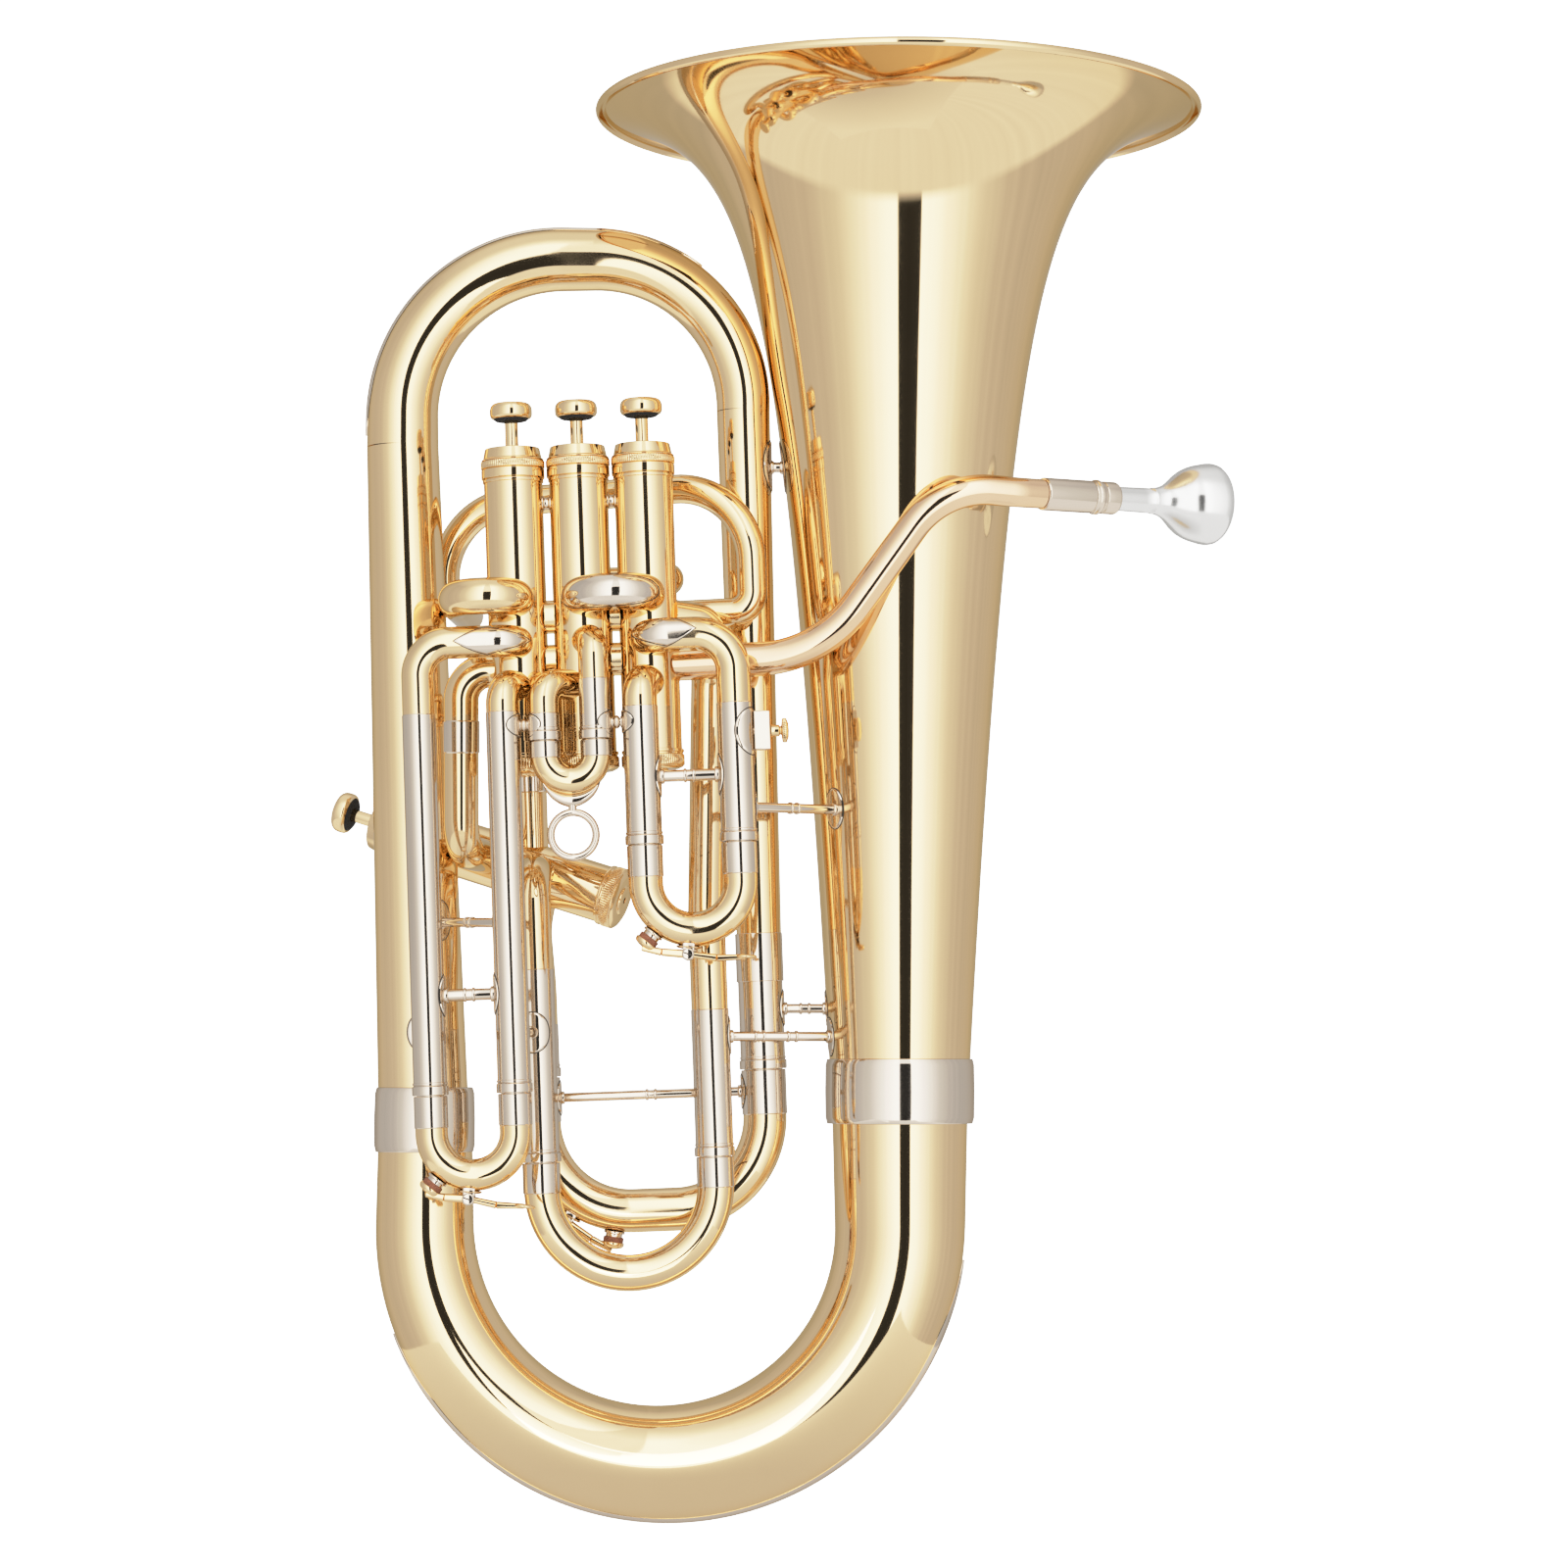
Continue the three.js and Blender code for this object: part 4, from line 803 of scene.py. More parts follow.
def draw_bow(slide, node):
    """A slide's moving bow: inner legs, nickel collars and the brass bend."""
    s = SLIDES[slide]
    y, r, end, leg, low = s["y"], s["r"], s["end"], s["leg"], s["low"]
    bend = min((s["right"] - s["left"]) / 2, WIDEST_BEND)
    for side, length in zip(("left", "right"), s["inner"]):
        foot, top = at(s[side], y, leg), at(s[side], y, end - SEAM)
        inner = at(s[side], y, end + length)
        straight(top - UP * 2, inner, r - 1.5).draw(
            f"{slide}_inner_{side}", "nickel", slide, sides=48, wall=1.0,
        )
        straight(foot, top, r).draw(f"{slide}_collar_{side}", "nickel", slide, sides=56, wall=1.4, edge=0.4)
    tube = Tube(
        [
            at(s["left"], y, leg + 0.8), at(s["left"], y, low), at(s["right"], y, low),
            at(s["right"], y, leg + 0.8),
        ],
        (bend, bend), ((0, r - 0.35),), 4,
    )
    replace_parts(tube.draw(f"{slide}_bow", "lacquer", slide, sides=60), node)
    return tube


def draw_slide_1():
    s = SLIDES["slide_1"]
    high = knuckle(
        "slide_1_knuckle_high", "slide_1",
        [
            at(PITCH, VALVE_Y - 10, -46.5), at(PITCH, SLIDE_Y, -46.5), at(s["right"], SLIDE_Y, -46.5),
        ], (9.5, 18), -80.5, "right",
    )
    knuckle(
        "slide_1_knuckle_low", "slide_1",
        [at(PITCH - 1, VALVE_Y - 10, -67.8), at(s["left"], SLIDE_Y, -67.8)], (10,), -80.5, "left",
    )
    left = sleeve("slide_1", "left", -80.5)
    right = sleeve("slide_1", "right", -80.5)
    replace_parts(bpy.data.objects["slide_1_sleeve_right"], "slide_1_outer")
    high.patch(
        "slide_1_diamond", 20, high.facing(20, (FRONT + UP * 0.25).normalized()), 14, 8.6, "nickel",
        "diamond", thick=0.3,
    )
    cross = 115 - 80.5
    brace("slide_1_cross", left, cross, right, cross, 2.9, oval=(10, 6.4))
    brace("slide_1_stay", right, 131 - 80.5, BELL_SKIN, 351 - BELL_FOOT, 2.4, oval=(10, 6.4))
    draw_bow("slide_1", "slide_1")
    draw_lyre_box(right)


def draw_lyre_box(leg):
    """A square open box for a lyre's stem, on an oval foot, with its thumbscrew."""
    across, half, hole = 85.4, 3.9, 2.55
    top, low = -85.2, -104.0
    outer, inner = [], []
    for dx, dy in ((-1, -1), (1, -1), (1, 1), (-1, 1)):
        outer.append((dx * half, dy * half))
        inner.append((dx * hole, dy * hole))
    rings = []
    turn = math.radians(9)
    for outline, h in ((outer, low), (outer, top), (inner, top), (inner, low)):
        spun = [(
            x * math.cos(turn) - y * math.sin(turn), x * math.sin(turn) + y * math.cos(turn),
        ) for x, y in outline]
        rings.append([at(across + dx, SLIDE_Y + dy, h) for dx, dy in spun])
    points, faces = skin(rings, True)
    holder = new_mesh("lyre_box_body", points, faces, "nickel")
    edge = holder.modifiers.new("edge", "BEVEL")
    edge.width = 0.45 * MM
    edge.segments = 3
    leg.patch(
        "lyre_box_foot", 14.4, leg.facing(14.4, (RIGHT + FRONT * 0.4).normalized()), 11.5, 10.5, "nickel",
    )
    block_start = at(across - half - 2.2, SLIDE_Y, -94.9)
    post("lyre_box_neck", block_start, at(across - half + 0.6, SLIDE_Y, -94.9), 3.0, "nickel")
    screw = at(across + hole + 0.15, SLIDE_Y, -94.9)
    profile = [
        (0, 0), (1.5, 0), (1.5, 2.0), (2.9, 2.1), (2.9, 6.0), (2.1, 6.3), (2.1, 7.0), (5.2, 7.4),
        (5.2, 9.8), (3.4, 10.5), (0, 10.7),
    ]
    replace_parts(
        lathe("lyre_thumbscrew", profile, screw, RIGHT, "lacquer", "lyre_screw", 48, 0.35), "lyre_screw",
    )
    knurl("lyre_thumbscrew_edge", screw + RIGHT * 7.4, RIGHT, 5.95, 2.4, 44, "lacquer", "lyre_screw", 0.25)


def draw_slide_2():
    s = SLIDES["slide_2"]
    knuckle(
        "slide_2_knuckle_left", "slide_2", [at(-5, VALVE_Y - 10, -67.8), at(s["left"], SLIDE_Y, -67.8)],
        (9.5,), -82.5, "left",
    )
    knuckle(
        "slide_2_knuckle_right", "slide_2", [at(1.5, VALVE_Y - 10, -46.5), at(s["right"], SLIDE_Y, -46.5)],
        (9.5,), -66.3, "right",
    )
    left, right = sleeve("slide_2", "left", -82.5), sleeve("slide_2", "right", -66.3)
    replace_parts(bpy.data.objects["slide_2_sleeve_left"], "slide_2_outer_left")
    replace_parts(bpy.data.objects["slide_2_sleeve_right"], "slide_2_outer_right")
    draw_bow("slide_2", "slide_2")
    draw_pull_ring()
    stub("slide_stub_left", leg_tube("slide_3", "right", -81, -120), 7.0, left, 5.4)
    stub("slide_stub_right", right, 21.6, leg_tube("slide_1", "left", -80.5, -120), 7.4)


def stub(name, a, da, b, db):
    """A bead and two ovals that tie two neighbouring legs together."""
    brace(name, a, da, b, db, 1.9, oval=(5.6, 10.5), beads=())
    p, q = a.place(da)[0], b.place(db)[0]
    way = (q - p).normalized()
    ball(f"{name}_bead", lerp(p + way * a.width(da), q - way * b.width(db), 0.5), way, 3.3, 1.9, "nickel")


def draw_pull_ring():
    """The ring that the second slide is pulled by, in a curved lug under the bow."""
    s = SLIDES["slide_2"]
    middle, half = (s["left"] + s["right"]) / 2, (s["right"] - s["left"]) / 2
    centre = at(middle, SLIDE_Y, s["low"] + half)
    steps, across = 40, 10
    rings = []
    for i in range(steps + 1):
        f = 2 * i / steps - 1
        a = math.radians(-90 + 46 * f)
        way = RIGHT * math.cos(a) + UP * math.sin(a)
        reach = half + s["r"] - 1.0
        rise = 0.4 + 6.2 * max(0.0, 1 - abs(f) ** 1.6)
        deep = 2.9 - 0.6 * abs(f)
        ring = []
        for k in range(across):
            b = 2 * math.pi * k / across
            ring.append(
                centre + way * (reach + rise * (0.5 + 0.5 * math.cos(b))) + BACK * (deep * math.sin(b))
            )
        rings.append(ring)
    rings.insert(0, [sum(rings[0], V((0, 0, 0))) / across])
    rings.append([sum(rings[-1], V((0, 0, 0))) / across])
    points, faces = skin(rings, False)
    new_mesh("slide_2_lug", points, faces, "nickel", "slide_2", 60)
    post(
        "slide_2_lug_neck", centre - UP * (half + s["r"] + 4), centre - UP * (half + s["r"] + 7.4), 2.0,
        "nickel", "slide_2", 0.2,
    )
    hoop = at(-7, SLIDE_Y, -141.8)
    profile = []
    for k in range(20):
        a = 2 * math.pi * k / 20
        profile.append((10.9 + 1.85 * math.cos(a), 1.85 * math.sin(a)))
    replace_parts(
        lathe("slide_2_ring", profile, hoop, BACK, "nickel", "slide_2", 96, 0, sharp=80),
        "slide_2_pull_ring",
    )


def draw_slide_3():
    s = SLIDES["slide_3"]
    high = knuckle(
        "slide_3_knuckle_high", "slide_3",
        [
            at(-PITCH, VALVE_Y - 10, -46.5), at(-PITCH, SLIDE_Y, -46.5), at(s["left"], SLIDE_Y, -46.5),
        ], (9.5, 16), -81, "left",
    )
    knuckle(
        "slide_3_knuckle_low", "slide_3",
        [at(-PITCH - 1, VALVE_Y - 10, -67.8), at(s["right"], SLIDE_Y, -67.8)], (10,), -81, "right",
    )
    left, right = sleeve("slide_3", "left", -81), sleeve("slide_3", "right", -81)
    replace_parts(bpy.data.objects["slide_3_sleeve_left"], "slide_3_outer")
    high.patch("slide_3_diamond", 24, high.facing(24, FRONT), 16, 8.0, "nickel", "diamond", thick=0.3)
    brace("slide_3_cross", left, 217 - 81, right, 217 - 81, 2.9, oval=(10, 6.2))
    brace("slide_3_stay", right, 183 - 81, OUTER, 97, 2.3, oval=(10, 6.2))
    brace("slide_3_stay_low", left, 238 - 81, OUTER, 42, 2.3, oval=(10, 8), beads=())
    draw_bow("slide_3", "slide_3")


def draw_slide_4():
    outlet = valve_at(VALVE_4, -42)
    left_top, right_top = -205, -227.7
    knuckle(
        "slide_4_knuckle_left", "slide_4", [outlet + SIDE_FRONT * 10, at(-30.4, DEEP_SLIDE_Y, -158)], (17,),
        left_top, "left",
    )
    knuckle(
        "slide_4_knuckle_right", "slide_4",
        [
            at(PITCH + 11, VALVE_Y, -35.5), at(62, -34, -38.5), at(60.5, -19.5, -66),
            at(55, DEEP_SLIDE_Y, -180),
        ], (11, 20, 60), right_top, "right",
    )
    left = sleeve("slide_4", "left", left_top)
    right = sleeve("slide_4", "right", right_top)
    brace(
        "slide_4_stay_low", left, 236 - 205, leg_tube("slide_3", "right", -81, -260), 236 - 81, 2.3,
        oval=(10, 9), beads=(),
    )
    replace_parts(bpy.data.objects["slide_4_sleeve_left"], "slide_4_outer_left")
    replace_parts(bpy.data.objects["slide_4_sleeve_right"], "slide_4_outer_right")
    brace(
        "slide_4_stay", right, 241 - 227.7, BELL_SKIN, 239 - BELL_FOOT, 2.4, oval=(9.5, 6.2),
        beads=(0.3, 0.62),
    )
    draw_bow("slide_4", "slide_4")


def draw_main_slide():
    outlet = valve_at(VALVE_4, -42)
    knuckle(
        "main_knuckle_left", "main_slide",
        [outlet + SIDE_DOWN * 10, outlet + SIDE_DOWN * 24, at(-32, 0, -214)], (30, 30), -232, "left",
    )
    sleeve("main_slide", "left", -232)
    right = sleeve("main_slide", "right", -191)
    band("main_sleeve_right_collar", at(80.2, 0, -190.6), DOWN, 24, 11.75, 10.6, "nickel", edge=0.6)
    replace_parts(bpy.data.objects["main_slide_sleeve_left"], "main_sleeve_left")
    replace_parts(bpy.data.objects["main_slide_sleeve_right"], "main_sleeve_right")
    brace("main_stay", right, 228 - 191, BELL_SKIN, 253 - BELL_FOOT, 2.4, oval=(9, 6.2))
    draw_bow("main_slide", "main_tuning_slide")
    a = leg_tube("main_slide", "left", -258.4, -280)
    b = leg_tube("main_slide", "right", -258.4, -280)
    brace("main_cross", a, 10.2, b, 10.2, 2.3, body="main_slide", oval=(8.6, 6.4))


# ---------------------------------------------------------------- water keys

KEYS = (
    ("water_key_1", "slide_1", "key_1", -130, -96, (74, -203.6)),
    ("water_key_3", "slide_3", "key_3", -130, -96, (-36.5, -319.4)),
    ("water_key_main", "main_slide", "key_main", -100, -124, (-33, -322)),
)


def bow_skin(slide, degrees, proud):
    s = SLIDES[slide]
    half = min((s["right"] - s["left"]) / 2, WIDEST_BEND)
    a = math.radians(degrees)
    r = half + s["r"] - 0.35 + proud
    return at(s["left"] + half + r * math.cos(a), s["y"], s["low"] + half + r * math.sin(a))


def draw_key(name, slide, rider, nipple, saddle, finger):
    """A sprung lever with a cork pad, on a saddle of two ears and a pin, over its drain nipple."""
    pivot = bow_skin(slide, saddle, 3.8)
    seat, pad = bow_skin(slide, nipple, -2.2), bow_skin(slide, nipple, 7.4)
    out = (pad - seat).normalized()
    end = at(finger[0], SLIDES[slide]["y"], finger[1])
    band(f"{name}_nipple_foot", seat + out * 1.9, out, 1.3, 5.2, 1.6, "nickel", slide, 0.5, 40)
    band(f"{name}_nipple", seat + out * 2.0, out, 3.0, 4.2, 1.5, "nickel", slide, 0.4, 40)
    for side in (-1, 1):
        tag = "ab"[side > 0]
        foot = bow_skin(slide, saddle, -1.6) + BACK * side * 5.0
        ear = pivot + BACK * side * 5.0
        bar(
            f"{name}_ear_{tag}", foot, ear + (ear - foot).normalized() * 2.4, (0.6, 0.6), (3.0, 2.4),
            "nickel", slide,
        )
        screw = [(0, 0), (3.0, 0), (3.0, 0.7), (2.3, 1.2), (0, 1.3)]
        lathe(f"{name}_screw_{tag}", screw, ear + BACK * side * 0.5, BACK * side, "nickel", slide, 40, 0.2)
        slot = ear + BACK * side * 1.78
        bar(
            f"{name}_slot_{tag}", slot - RIGHT * 2.1 + UP * 0.8, slot + RIGHT * 2.1 - UP * 0.8,
            (0.08, 0.08), (0.3, 0.3), "shadow", slide,
        )
    lug = bow_skin(slide, saddle, 0.35)
    ball(f"{name}_saddle", lug, (pivot - lug).normalized(), 6.2, 1.1, "nickel", slide)
    hub = band(f"{name}_hub", pivot - BACK * 3.9, BACK, 7.8, 2.5, 0.95, "lacquer", rider, 0.5, 32)
    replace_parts(hub, name)
    spring_turns(name, pivot, rider)
    knee = lerp(pivot, pad, 0.55) + out * 1.8
    bar(f"{name}_arm_pad", pivot, knee, (3.8, 3.4), (2.1, 1.9), "lacquer", rider)
    bar(f"{name}_arm_cup", knee, pad + out * 1.8, (3.4, 3.0), (1.9, 1.5), "lacquer", rider)
    dip = lerp(pivot, end, 0.5) + (pivot - bow_skin(slide, saddle, 0)).normalized() * 1.2
    bar(f"{name}_arm_middle", pivot, dip, (3.8, 3.4), (1.5, 1.8), "lacquer", rider)
    bar(f"{name}_arm_finger", dip, end, (3.4, 3.0), (1.8, 1.3), "lacquer", rider)
    cup = [(0, 0), (2.6, 0.2), (4.8, 0.9), (5.6, 2.0), (5.6, 3.5), (0, 3.5)]
    lathe(f"{name}_cup", cup, pad + out * 1.3, -out, "lacquer", rider, 48, 0.4)
    lathe(
        f"{name}_cork", [(0, 0), (5.0, 0), (5.0, 2.9), (0, 2.9)], pad - out * 1.9, -out, "cork", rider, 40,
        0.5,
    )
    across = (end - pivot).normalized()
    flat = across.cross(BACK).normalized()
    plate = [(0, -0.8), (4.6, -0.8), (5.5, 0), (4.8, 1.0), (0, 0.6)]
    lathe(f"{name}_touch", plate, end, flat, "lacquer", rider, 48, 0.4)


def bar(name, start, end, deep, tall, material, rider):
    """A rounded bar in the plane of the tubes, with a half-depth and a half-height at each end."""
    way = (end - start).normalized()
    up = way.cross(BACK).normalized()
    rings = []
    count = 20
    for f, shrink in ((0, 0.8), (0.03, 1), (0.5, 1), (0.97, 1), (1, 0.8)):
        centre = lerp(start, end, f)
        d, t = lerp(*deep, f) * shrink, lerp(*tall, f) * shrink
        ring = []
        for k in range(count):
            c, s = math.cos(2 * math.pi * k / count), math.sin(2 * math.pi * k / count)
            ring.append(
                centre + BACK * math.copysign(d * abs(s) ** 0.55,
                s) + up * math.copysign(t * abs(c) ** 0.55, c)
            )
        rings.append(ring)
    rings.insert(0, [start - way * 0.05])
    rings.append([end + way * 0.05])
    points, faces = skin(rings, False)
    new_mesh(name, points, faces, material, rider, 40)


def spring_turns(name, pivot, rider):
    """The few turns of wire round the hub that close the key."""
    for side in (-1, 1):
        profile = []
        for k in range(10):
            a = 2 * math.pi * k / 10
            profile.append((2.75 + 0.33 * math.cos(a), 0.33 * math.sin(a)))
        for turn in range(3):
            centre = pivot + BACK * (side * (1.2 + 0.72 * turn))
            lathe(
                f"{name}_wire_{'ab'[side > 0]}{turn}", profile, centre, BACK, "steel", rider, 32, 0,
                sharp=80,
            )


# ---------------------------------------------------------------- loops between the valves

UPPER = -25
ARCH_PORT = -31.8
REAR = -14.2
SIDE_DOWN = (V((0, 0, -1)) + VALVE_4["up"] * VALVE_4["up"].z).normalized()
SIDE_FRONT = (FRONT + VALVE_4["up"] * VALVE_4["up"].y).normalized()


def draw_loops():
    arch = Tube(
        [at(-PITCH, VALVE_Y - 10, UPPER), at(-PITCH, -73, UPPER), at(-60.3, -73, UPPER), at(-60.3, 24, UPPER),
         at(-71.9, 24, UPPER + 11), at(-71.9, 24, 32), at(83.4, -21.5, 32), at(83.4, -21.5, ARCH_PORT),
         at(PITCH, -14, ARCH_PORT), at(PITCH, VALVE_Y + 10, ARCH_PORT)],
        (14, 14, 10, 8, 38, 38, 10, 10), ((0, 9), (62, 9), (150, 7.3), (900, 7.3)), 4,
    )
    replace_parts(arch.draw("arch_tube", "lacquer", sides=60), "compensating_arch")
    loop = Tube(
        [
            at(PITCH, VALVE_Y - 10, UPPER), at(PITCH, -73, UPPER), at(0, -73, UPPER),
            at(0, VALVE_Y - 10, UPPER),
        ],
        (15.9, 15.9), ((0, 9),), 4,
    )
    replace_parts(loop.draw("front_loop_tube", "lacquer", sides=60), "compensating_loop")
    middle = loop.length / 2 + 4.2
    loop.patch("front_loop_plate", middle, loop.facing(middle, FRONT), 22, 9.2, "nickel", thick=0.3)
    far = PITCH + 9.4
    rear = Tube(
        [
            at(0, VALVE_Y + 10, REAR), at(0, -9, REAR), at(far, -9, REAR), at(far, -22, REAR),
            at(PITCH, -34, REAR), at(PITCH, VALVE_Y + 10, REAR),
        ],
        (12, 12, 6, 1), ((0, 8.3),), 5,
    )
    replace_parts(rear.draw("rear_loop_tube", "lacquer", sides=56), "compensating_rear_loop")
    inlet = Tube(
        [
            at(-PITCH - 10, VALVE_Y, -58), at(-60.5, VALVE_Y, -58), V((-98, -36, 330)),
            valve_at(VALVE_4, -16) + SIDE_FRONT * 10,
        ],
        (15, 17), ((0, 8.6),), 4,
    )
    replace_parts(inlet.draw("inlet_tube", "lacquer", sides=56), "fourth_valve_inlet")
    at_height = next(d for d in range(30, 120) if inlet.place(d)[0].z < 394)
    ferrule = Tube([inlet.place(at_height)[0], inlet.place(at_height + 16)[0]], (), ((0, 9.1),))
    ferrule.draw("inlet_ferrule", "nickel", sides=56, wall=1.0, edge=0.6)
    foot = valve_at(VALVE_4, -33) - SIDE_DOWN * 10
    back = Tube([at(-PITCH, VALVE_Y + 10, -70), at(-PITCH, 14, -70), foot], (16,), ((0, 8.4),), 4)
    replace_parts(back.draw("return_tube", "lacquer", sides=56), "fourth_valve_return")
    tail = back.length
    Tube(
        [back.place(tail - 62)[0], back.place(tail - 30)[0]], (), ((0, 8.9),),
    ).draw("return_ferrule", "nickel", sides=56, wall=1.0, edge=0.6)


# ---------------------------------------------------------------- leadpipe and mouthpiece

MOUTH = V((42.7, 24, 0.6)).normalized()
PIPE_END = V((186.3, -51, 503.8))
SHANK_DEPTH = 18


def draw_leadpipe():
    pipe = Tube(
        [
            at(PITCH + 10, VALVE_Y, -58.2), V((78, -53, 424)), V((137, -68, 505.5)), PIPE_END - MOUTH * 14,
            PIPE_END,
        ],
        (62, 42, 30), (), 3,
    )
    pipe.marks = [(0, 8.7), (pipe.length, 7.2)]
    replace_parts(pipe.draw("leadpipe_tube", "rose", sides=64), "leadpipe")
    start = PIPE_END + MOUTH * 0.1
    profile = [
        (6.2, 0), (7.7, 0), (8.05, 0.8), (8.05, 27.6), (7.8, 27.9), (7.8, 28.3), (8.05, 28.6),
        (8.05, 29.8), (8.6, 30.3), (8.6, 32.1),
        (8.05, 32.6), (8.05, 33.8), (7.8, 34.1), (7.8, 34.5), (8.05, 34.8), (8.05, 41.6), (7.7, 42.4),
        (6.2, 42.4),
    ]
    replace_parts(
        lathe("receiver_tube", profile, start, MOUTH, "nickel", sides=72, edge=0.25), "mouthpiece_receiver",
    )


def draw_mouthpiece():
    shank = PIPE_END + MOUTH * SHANK_DEPTH
    outside = [
        (5.5, 0), (5.95, 25.0), (6.2, 40.0), (6.25, 46.2), (6.55, 46.5), (6.55, 47.4), (6.7, 48.8),
        (7.4, 51.6), (8.6, 54.4),
        (10.4, 57.2), (12.6, 60.0), (15.0, 63.0), (16.9, 66.0), (18.2, 69.0), (19.1, 72.0), (19.7, 75.0),
        (20.3, 78.0),
        (20.45, 80.3), (20.1, 82.2), (19.1, 83.7), (17.6, 84.5), (16.0, 84.4), (14.6, 83.7),
    ]
    inside = [
        (13.6, 82.0), (13.1, 79.0), (12.8, 74.0), (11.8, 68.0), (9.6, 62.0), (6.6, 57.0), (4.2, 53.5),
        (3.4, 51.0), (3.6, 40.0), (4.6, 0),
    ]
    cup = lathe(
        "mouthpiece_cup_and_shank", outside + inside, shank, MOUTH, "silver", "mouthpiece", 112, 0.0,
        sharp=50,
    )
    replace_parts(cup, "mouthpiece")


# ---------------------------------------------------------------- the studio

WHITE = 2.6  # the level that prints as plain white

SKY = WHITE * 1.1  # what the camera sees round the object, past the shoulder of the tones
FLOOR_REACH = 0.6  # how far the floor runs in front of the object
FLOOR_SIDE = 4.0
FLOOR_BACK = 9.0
MAT_SIDE, MAT_REACH, MAT_DROP = 0.3, 0.45, 0.001
MAT_NEAR = 0.6  # how bright the mat is right under the object


def studio_plane(name, side, front, back, height, greys, roughness):
    """A level plane with a faintly mottled grey that glows, and its material's graph."""
    mesh = bpy.data.meshes.new(name)
    corners = ((-side, -front), (side, -front), (side, back), (-side, back))
    mesh.from_pydata([(x, y, height) for x, y in corners], [], [(0, 1, 2, 3)])
    plane = bpy.data.objects.new(name, mesh)
    bpy.context.scene.collection.objects.link(plane)
    g = Graph(name)
    tone = g.ramp(g.noise(3.0, 2.0), 0.3, 0.7, 0.0, 1.0)
    dark, light = greys
    g.links.new(g.mix(tone, (dark,) * 3, (light,) * 3), g.shader.inputs["Base Color"])
    socket(g.shader, "Roughness", roughness)
    socket(g.shader, "Emission Color", (1, 1, 1, 1))
    mesh.materials.append(g.material)
    return plane, g


def distance_glow(g, near, far, near_level, far_level):
    """A glow that changes with the distance from the middle of the floor."""
    reach = g.nodes.new("ShaderNodeVectorMath")
    reach.operation = "LENGTH"
    g.links.new(g.place, reach.inputs[0])
    return g.ramp(reach.outputs["Value"], near, far, near_level, far_level)


def draw_floor():
    """A white floor that glows a little near the object, and looks plain white from above."""
    floor, g = studio_plane(
        "studio_floor", FLOOR_SIDE, FLOOR_REACH, FLOOR_BACK, cad_box[0][2], (0.52, 0.55), 0.8,
    )
    glow = distance_glow(g, 0.15, 0.5, 0.5, 0.32)
    ray = g.nodes.new("ShaderNodeLightPath").outputs["Is Camera Ray"]
    seen = g.ramp(ray, 0.0, 1.0, 0.0, SKY)
    lift = g.nodes.new("ShaderNodeMath")
    lift.operation = "MAXIMUM"
    g.links.new(glow, lift.inputs[0])
    g.links.new(seen, lift.inputs[1])
    g.links.new(lift.outputs[0], g.shader.inputs["Emission Strength"])
    floor.visible_glossy = False


def draw_mat():
    """The part of the floor close to the object, which is all of it that the tubes reflect."""
    mat, g = studio_plane(
        "studio_mat", MAT_SIDE, MAT_REACH, MAT_SIDE, cad_box[0][2] - MAT_DROP, (0.04, 0.05), 0.9,
    )
    glow = distance_glow(g, 0.08, MAT_REACH, MAT_NEAR, GROUND_LEVEL)
    g.links.new(glow, g.shader.inputs["Emission Strength"])
    mat.visible_camera = False
    mat.visible_diffuse = False
    mat.visible_shadow = False


GAP_TURN = 7.0  # degrees that the dark gap sits to the right of straight ahead
GAP_HALF = 8.8
GAP_TOP = 20.0
BESIDE_GAP, ABOVE_GAP, GROUND_LEVEL = 2.1, 1.3, 0.95
WALL_LEVELS = (
    (0, 0.03), (GAP_HALF - 0.3, 0.035), (GAP_HALF + 0.3, BESIDE_GAP), (17, 1.95), (36, 1.3), (55, 0.82),
    (76, 0.63),
    (100, 0.57), (134, 0.58), (155, 0.5), (180, 0.52),
)


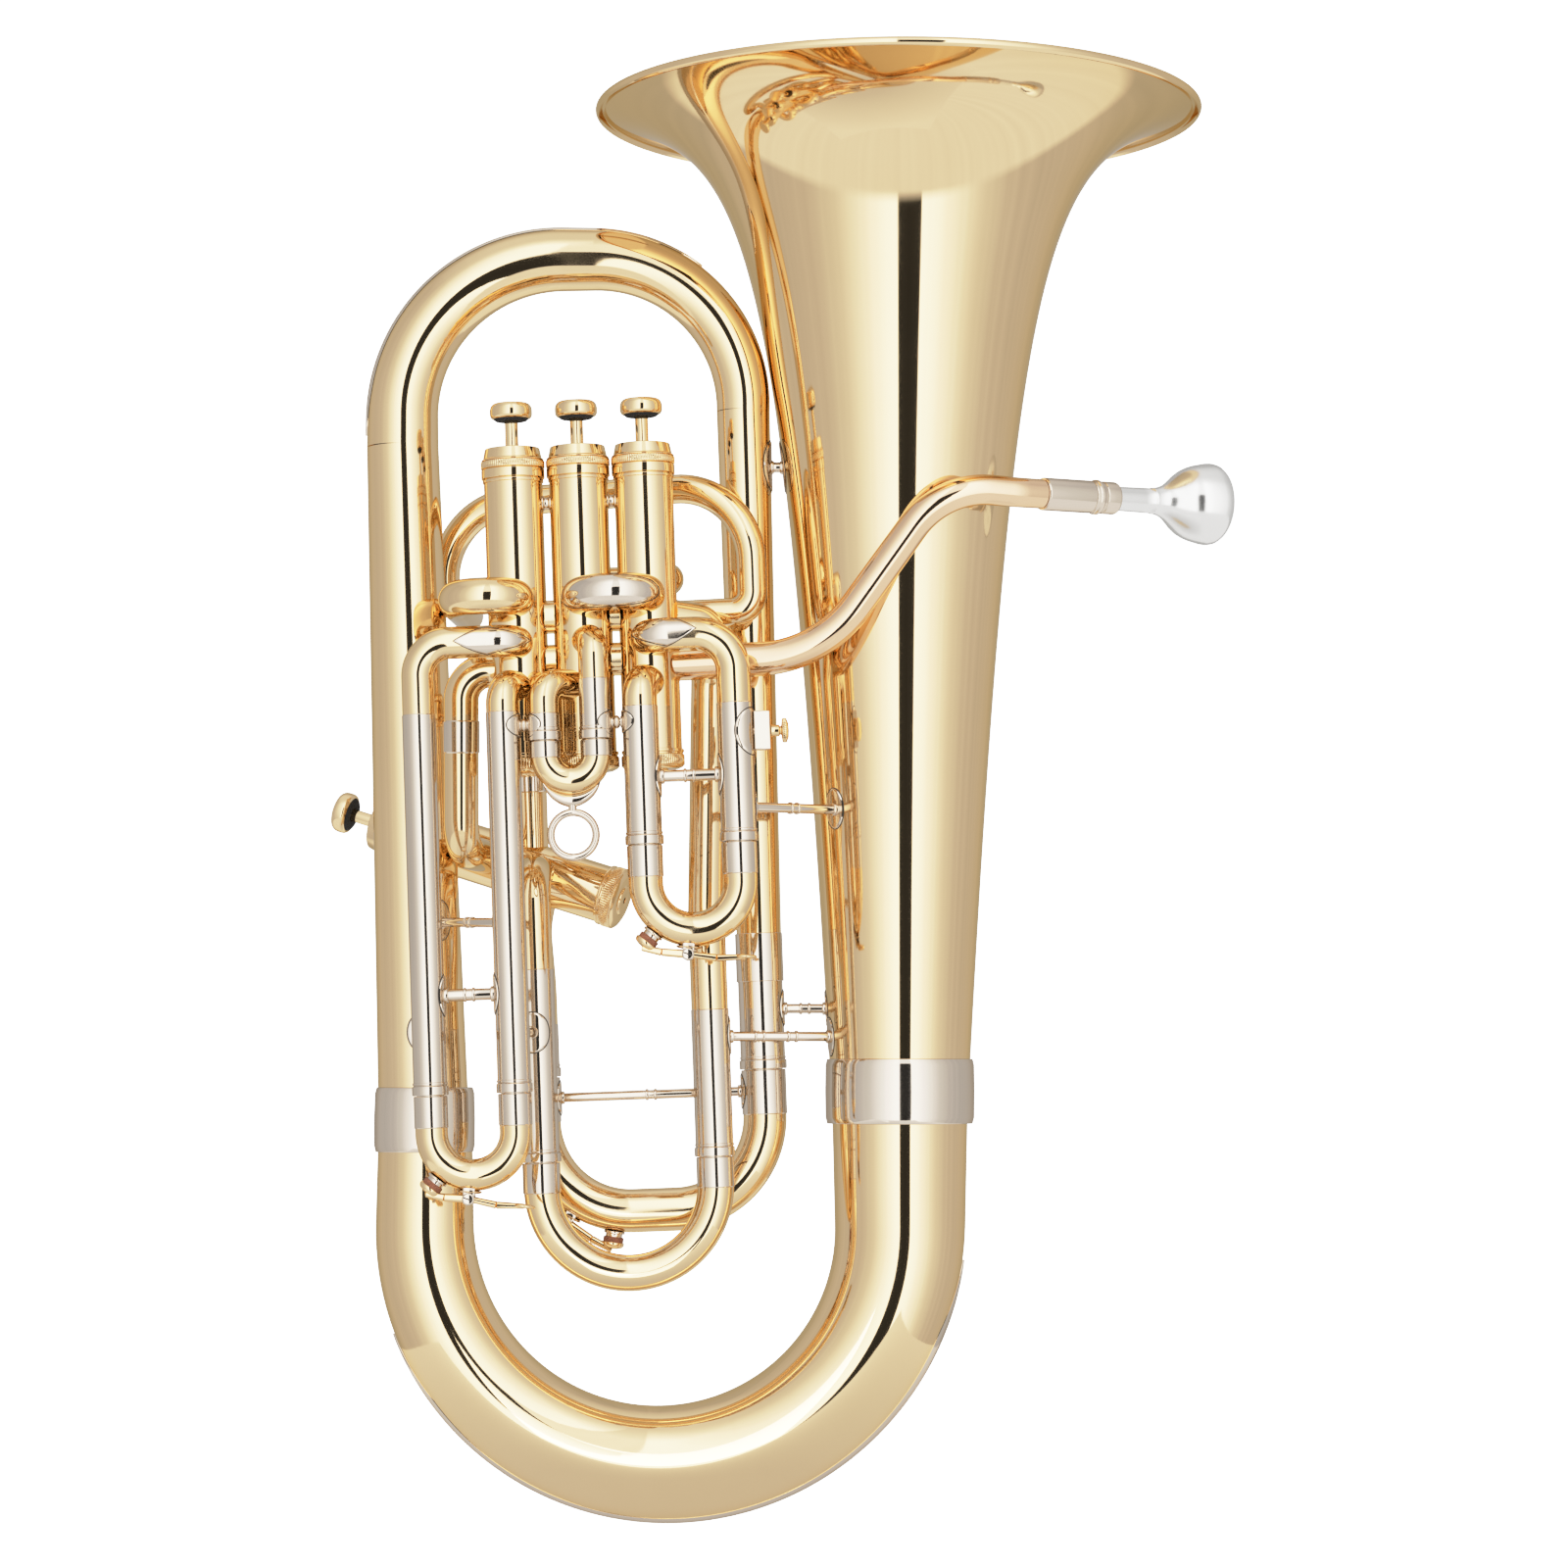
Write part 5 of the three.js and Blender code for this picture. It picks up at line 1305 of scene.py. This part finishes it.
def draw_world():
    """White walls and two bright soft boxes either side of a dark gap that faces the object's front."""
    world = bpy.data.worlds.new("studio")
    bpy.context.scene.world = world
    world.use_nodes = True
    nodes, links = world.node_tree.nodes, world.node_tree.links
    nodes.clear()
    spot = nodes.new("ShaderNodeTexCoord")
    parts = nodes.new("ShaderNodeSeparateXYZ")
    links.new(spot.outputs["Generated"], parts.inputs["Vector"])

    def math_node(kind, a, b=None):
        node = nodes.new("ShaderNodeMath")
        node.operation = kind
        for i, value in enumerate((a, b)):
            if value is None:
                continue
            if isinstance(value, (int, float)):
                node.inputs[i].default_value = value
            else:
                links.new(value, node.inputs[i])
        return node.outputs[0]

    away = math_node("MULTIPLY", parts.outputs["Y"], -1.0)
    azimuth = math_node("ARCTAN2", parts.outputs["X"], away)
    turned = math_node("SUBTRACT", azimuth, math.radians(GAP_TURN))
    off = math_node("ABSOLUTE", turned)
    share = math_node("DIVIDE", off, math.pi)
    ramp = nodes.new("ShaderNodeValToRGB")
    links.new(share, ramp.inputs["Fac"])
    stops = ramp.color_ramp.elements
    while len(stops) > 1:
        stops.remove(stops[-1])
    for i, (degrees, level) in enumerate(WALL_LEVELS):
        stop = stops[0] if i == 0 else stops.new(degrees / 180)
        stop.position = degrees / 180
        stop.color = (level / 4, level / 4, level / 4, 1)
    level = math_node("MULTIPLY", ramp.outputs["Color"], 4.0)
    above = math_node("GREATER_THAN", parts.outputs["Z"], math.sin(math.radians(GAP_TOP)))
    near_gap = math_node("LESS_THAN", share, (GAP_HALF + 0.8) / 180)
    closed = math_node("MULTIPLY", above, near_gap)
    level = math_node("MAXIMUM", level, math_node("MULTIPLY", closed, ABOVE_GAP))
    lower = nodes.new("ShaderNodeMapRange")
    for key, number in (("From Min", -0.48), ("From Max", -0.53), ("To Min", 0.0), ("To Max", 1.0)):
        socket(lower, key, number)
    links.new(parts.outputs["Z"], lower.inputs["Value"])
    ground = nodes.new("ShaderNodeMix")
    links.new(lower.outputs["Result"], ground.inputs[0])
    links.new(level, ground.inputs[2])
    ground.inputs[3].default_value = GROUND_LEVEL
    level = ground.outputs[0]
    folds = nodes.new("ShaderNodeTexNoise")
    folds.noise_dimensions = "1D"
    socket(folds, "Scale", 9.0)
    socket(folds, "Detail", 3.0)
    links.new(azimuth, folds.inputs["W"])
    shade = math_node("ADD", math_node("MULTIPLY", folds.outputs["Fac"], 0.16), 0.92)
    level = math_node("MULTIPLY", level, shade)
    overhead = nodes.new("ShaderNodeMapRange")
    for key, number in (("From Min", 0.75), ("From Max", 0.97), ("To Min", 0.0), ("To Max", 1.0)):
        socket(overhead, key, number)
    links.new(parts.outputs["Z"], overhead.inputs["Value"])
    mix = nodes.new("ShaderNodeMix")
    links.new(overhead.outputs["Result"], mix.inputs[0])
    links.new(level, mix.inputs[2])
    mix.inputs[3].default_value = 0.85
    path = nodes.new("ShaderNodeLightPath")
    shown = nodes.new("ShaderNodeMix")
    links.new(path.outputs["Is Camera Ray"], shown.inputs[0])
    links.new(mix.outputs[0], shown.inputs[2])
    shown.inputs[3].default_value = SKY
    back = nodes.new("ShaderNodeBackground")
    links.new(shown.outputs[0], back.inputs["Strength"])
    socket(back, "Color", (1, 1, 1, 1))
    out = nodes.new("ShaderNodeOutputWorld")
    links.new(back.outputs["Background"], out.inputs["Surface"])


CARD_LEVEL = 0.5  # a small bright card in front of the bottom bow
CARD_SPREAD = 84
CARD_SIZE = (0.128, 0.08)
CARD_PLACE = (-0.014, -0.2, 0.07)


def area_light(name, size, energy, location):
    data = bpy.data.lights.new(name, "AREA")
    data.shape = "RECTANGLE"
    data.size, data.size_y = size
    data.energy = energy
    lamp = bpy.data.objects.new(name, data)
    lamp.location = location
    bpy.context.scene.collection.objects.link(lamp)
    return lamp


def draw_lights():
    lamp = area_light("overhead_softbox", (1.6, 1.2), 9.0, (-0.3, -0.9, 2.1))
    lamp.rotation_euler = (V((0.0, 0.0, 0.35)) - lamp.location).to_track_quat("-Z", "Y").to_euler()
    lamp.visible_glossy = False
    card = area_light("low_card", CARD_SIZE, math.pi * CARD_SIZE[0] * CARD_SIZE[1] * CARD_LEVEL, CARD_PLACE)
    card.data.spread = math.radians(CARD_SPREAD)
    card.rotation_euler = (math.radians(90), 0, 0)
    card.visible_camera = False


TONES = (
    (0.2, 0.2), (0.4, 0.4), (0.6, 0.6), (0.87, 0.775), (1.03, 0.83), (1.3, 0.9), (1.7, 0.945), (2.2, 0.975),
)


def set_tones():
    """Plain tones up to the middle, then a soft shoulder that keeps colour in the highlights."""
    view = bpy.context.scene.view_settings
    view.view_transform = "Standard"
    view.use_curve_mapping = True
    mapping = view.curve_mapping
    mapping.white_level = (WHITE, WHITE, WHITE)
    points = mapping.curves[3].points
    for level, shown in TONES:
        points.new(level / WHITE, shown)
    mapping.update()


SENSOR = 36.0
FOCAL_SHARE = 2.68125  # focal length as a share of the picture's width
CAMERA_PLACE = (0.060262, -2.094, 0.2284)
CAMERA_PITCH = 3.73


def draw_camera():
    data = bpy.data.cameras.new("camera")
    data.sensor_width = SENSOR
    data.lens = SENSOR * FOCAL_SHARE
    camera = bpy.data.objects.new("camera", data)
    camera.location = CAMERA_PLACE
    camera.rotation_euler = (math.radians(90 + CAMERA_PITCH), 0, 0)
    bpy.context.scene.collection.objects.link(camera)
    bpy.context.scene.camera = camera


draw_camera()
draw_bell()
draw_main_tubing()
for each in VALVES:
    draw_valve(each)
    draw_spring(each)
draw_links()
draw_slide_1()
draw_slide_2()
draw_slide_3()
draw_slide_4()
draw_main_slide()
for key in KEYS:
    draw_key(*key)
draw_loops()
draw_leadpipe()
draw_mouthpiece()
draw_floor()
draw_mat()
draw_world()
draw_lights()
set_tones()

bpy.context.view_layer.update()
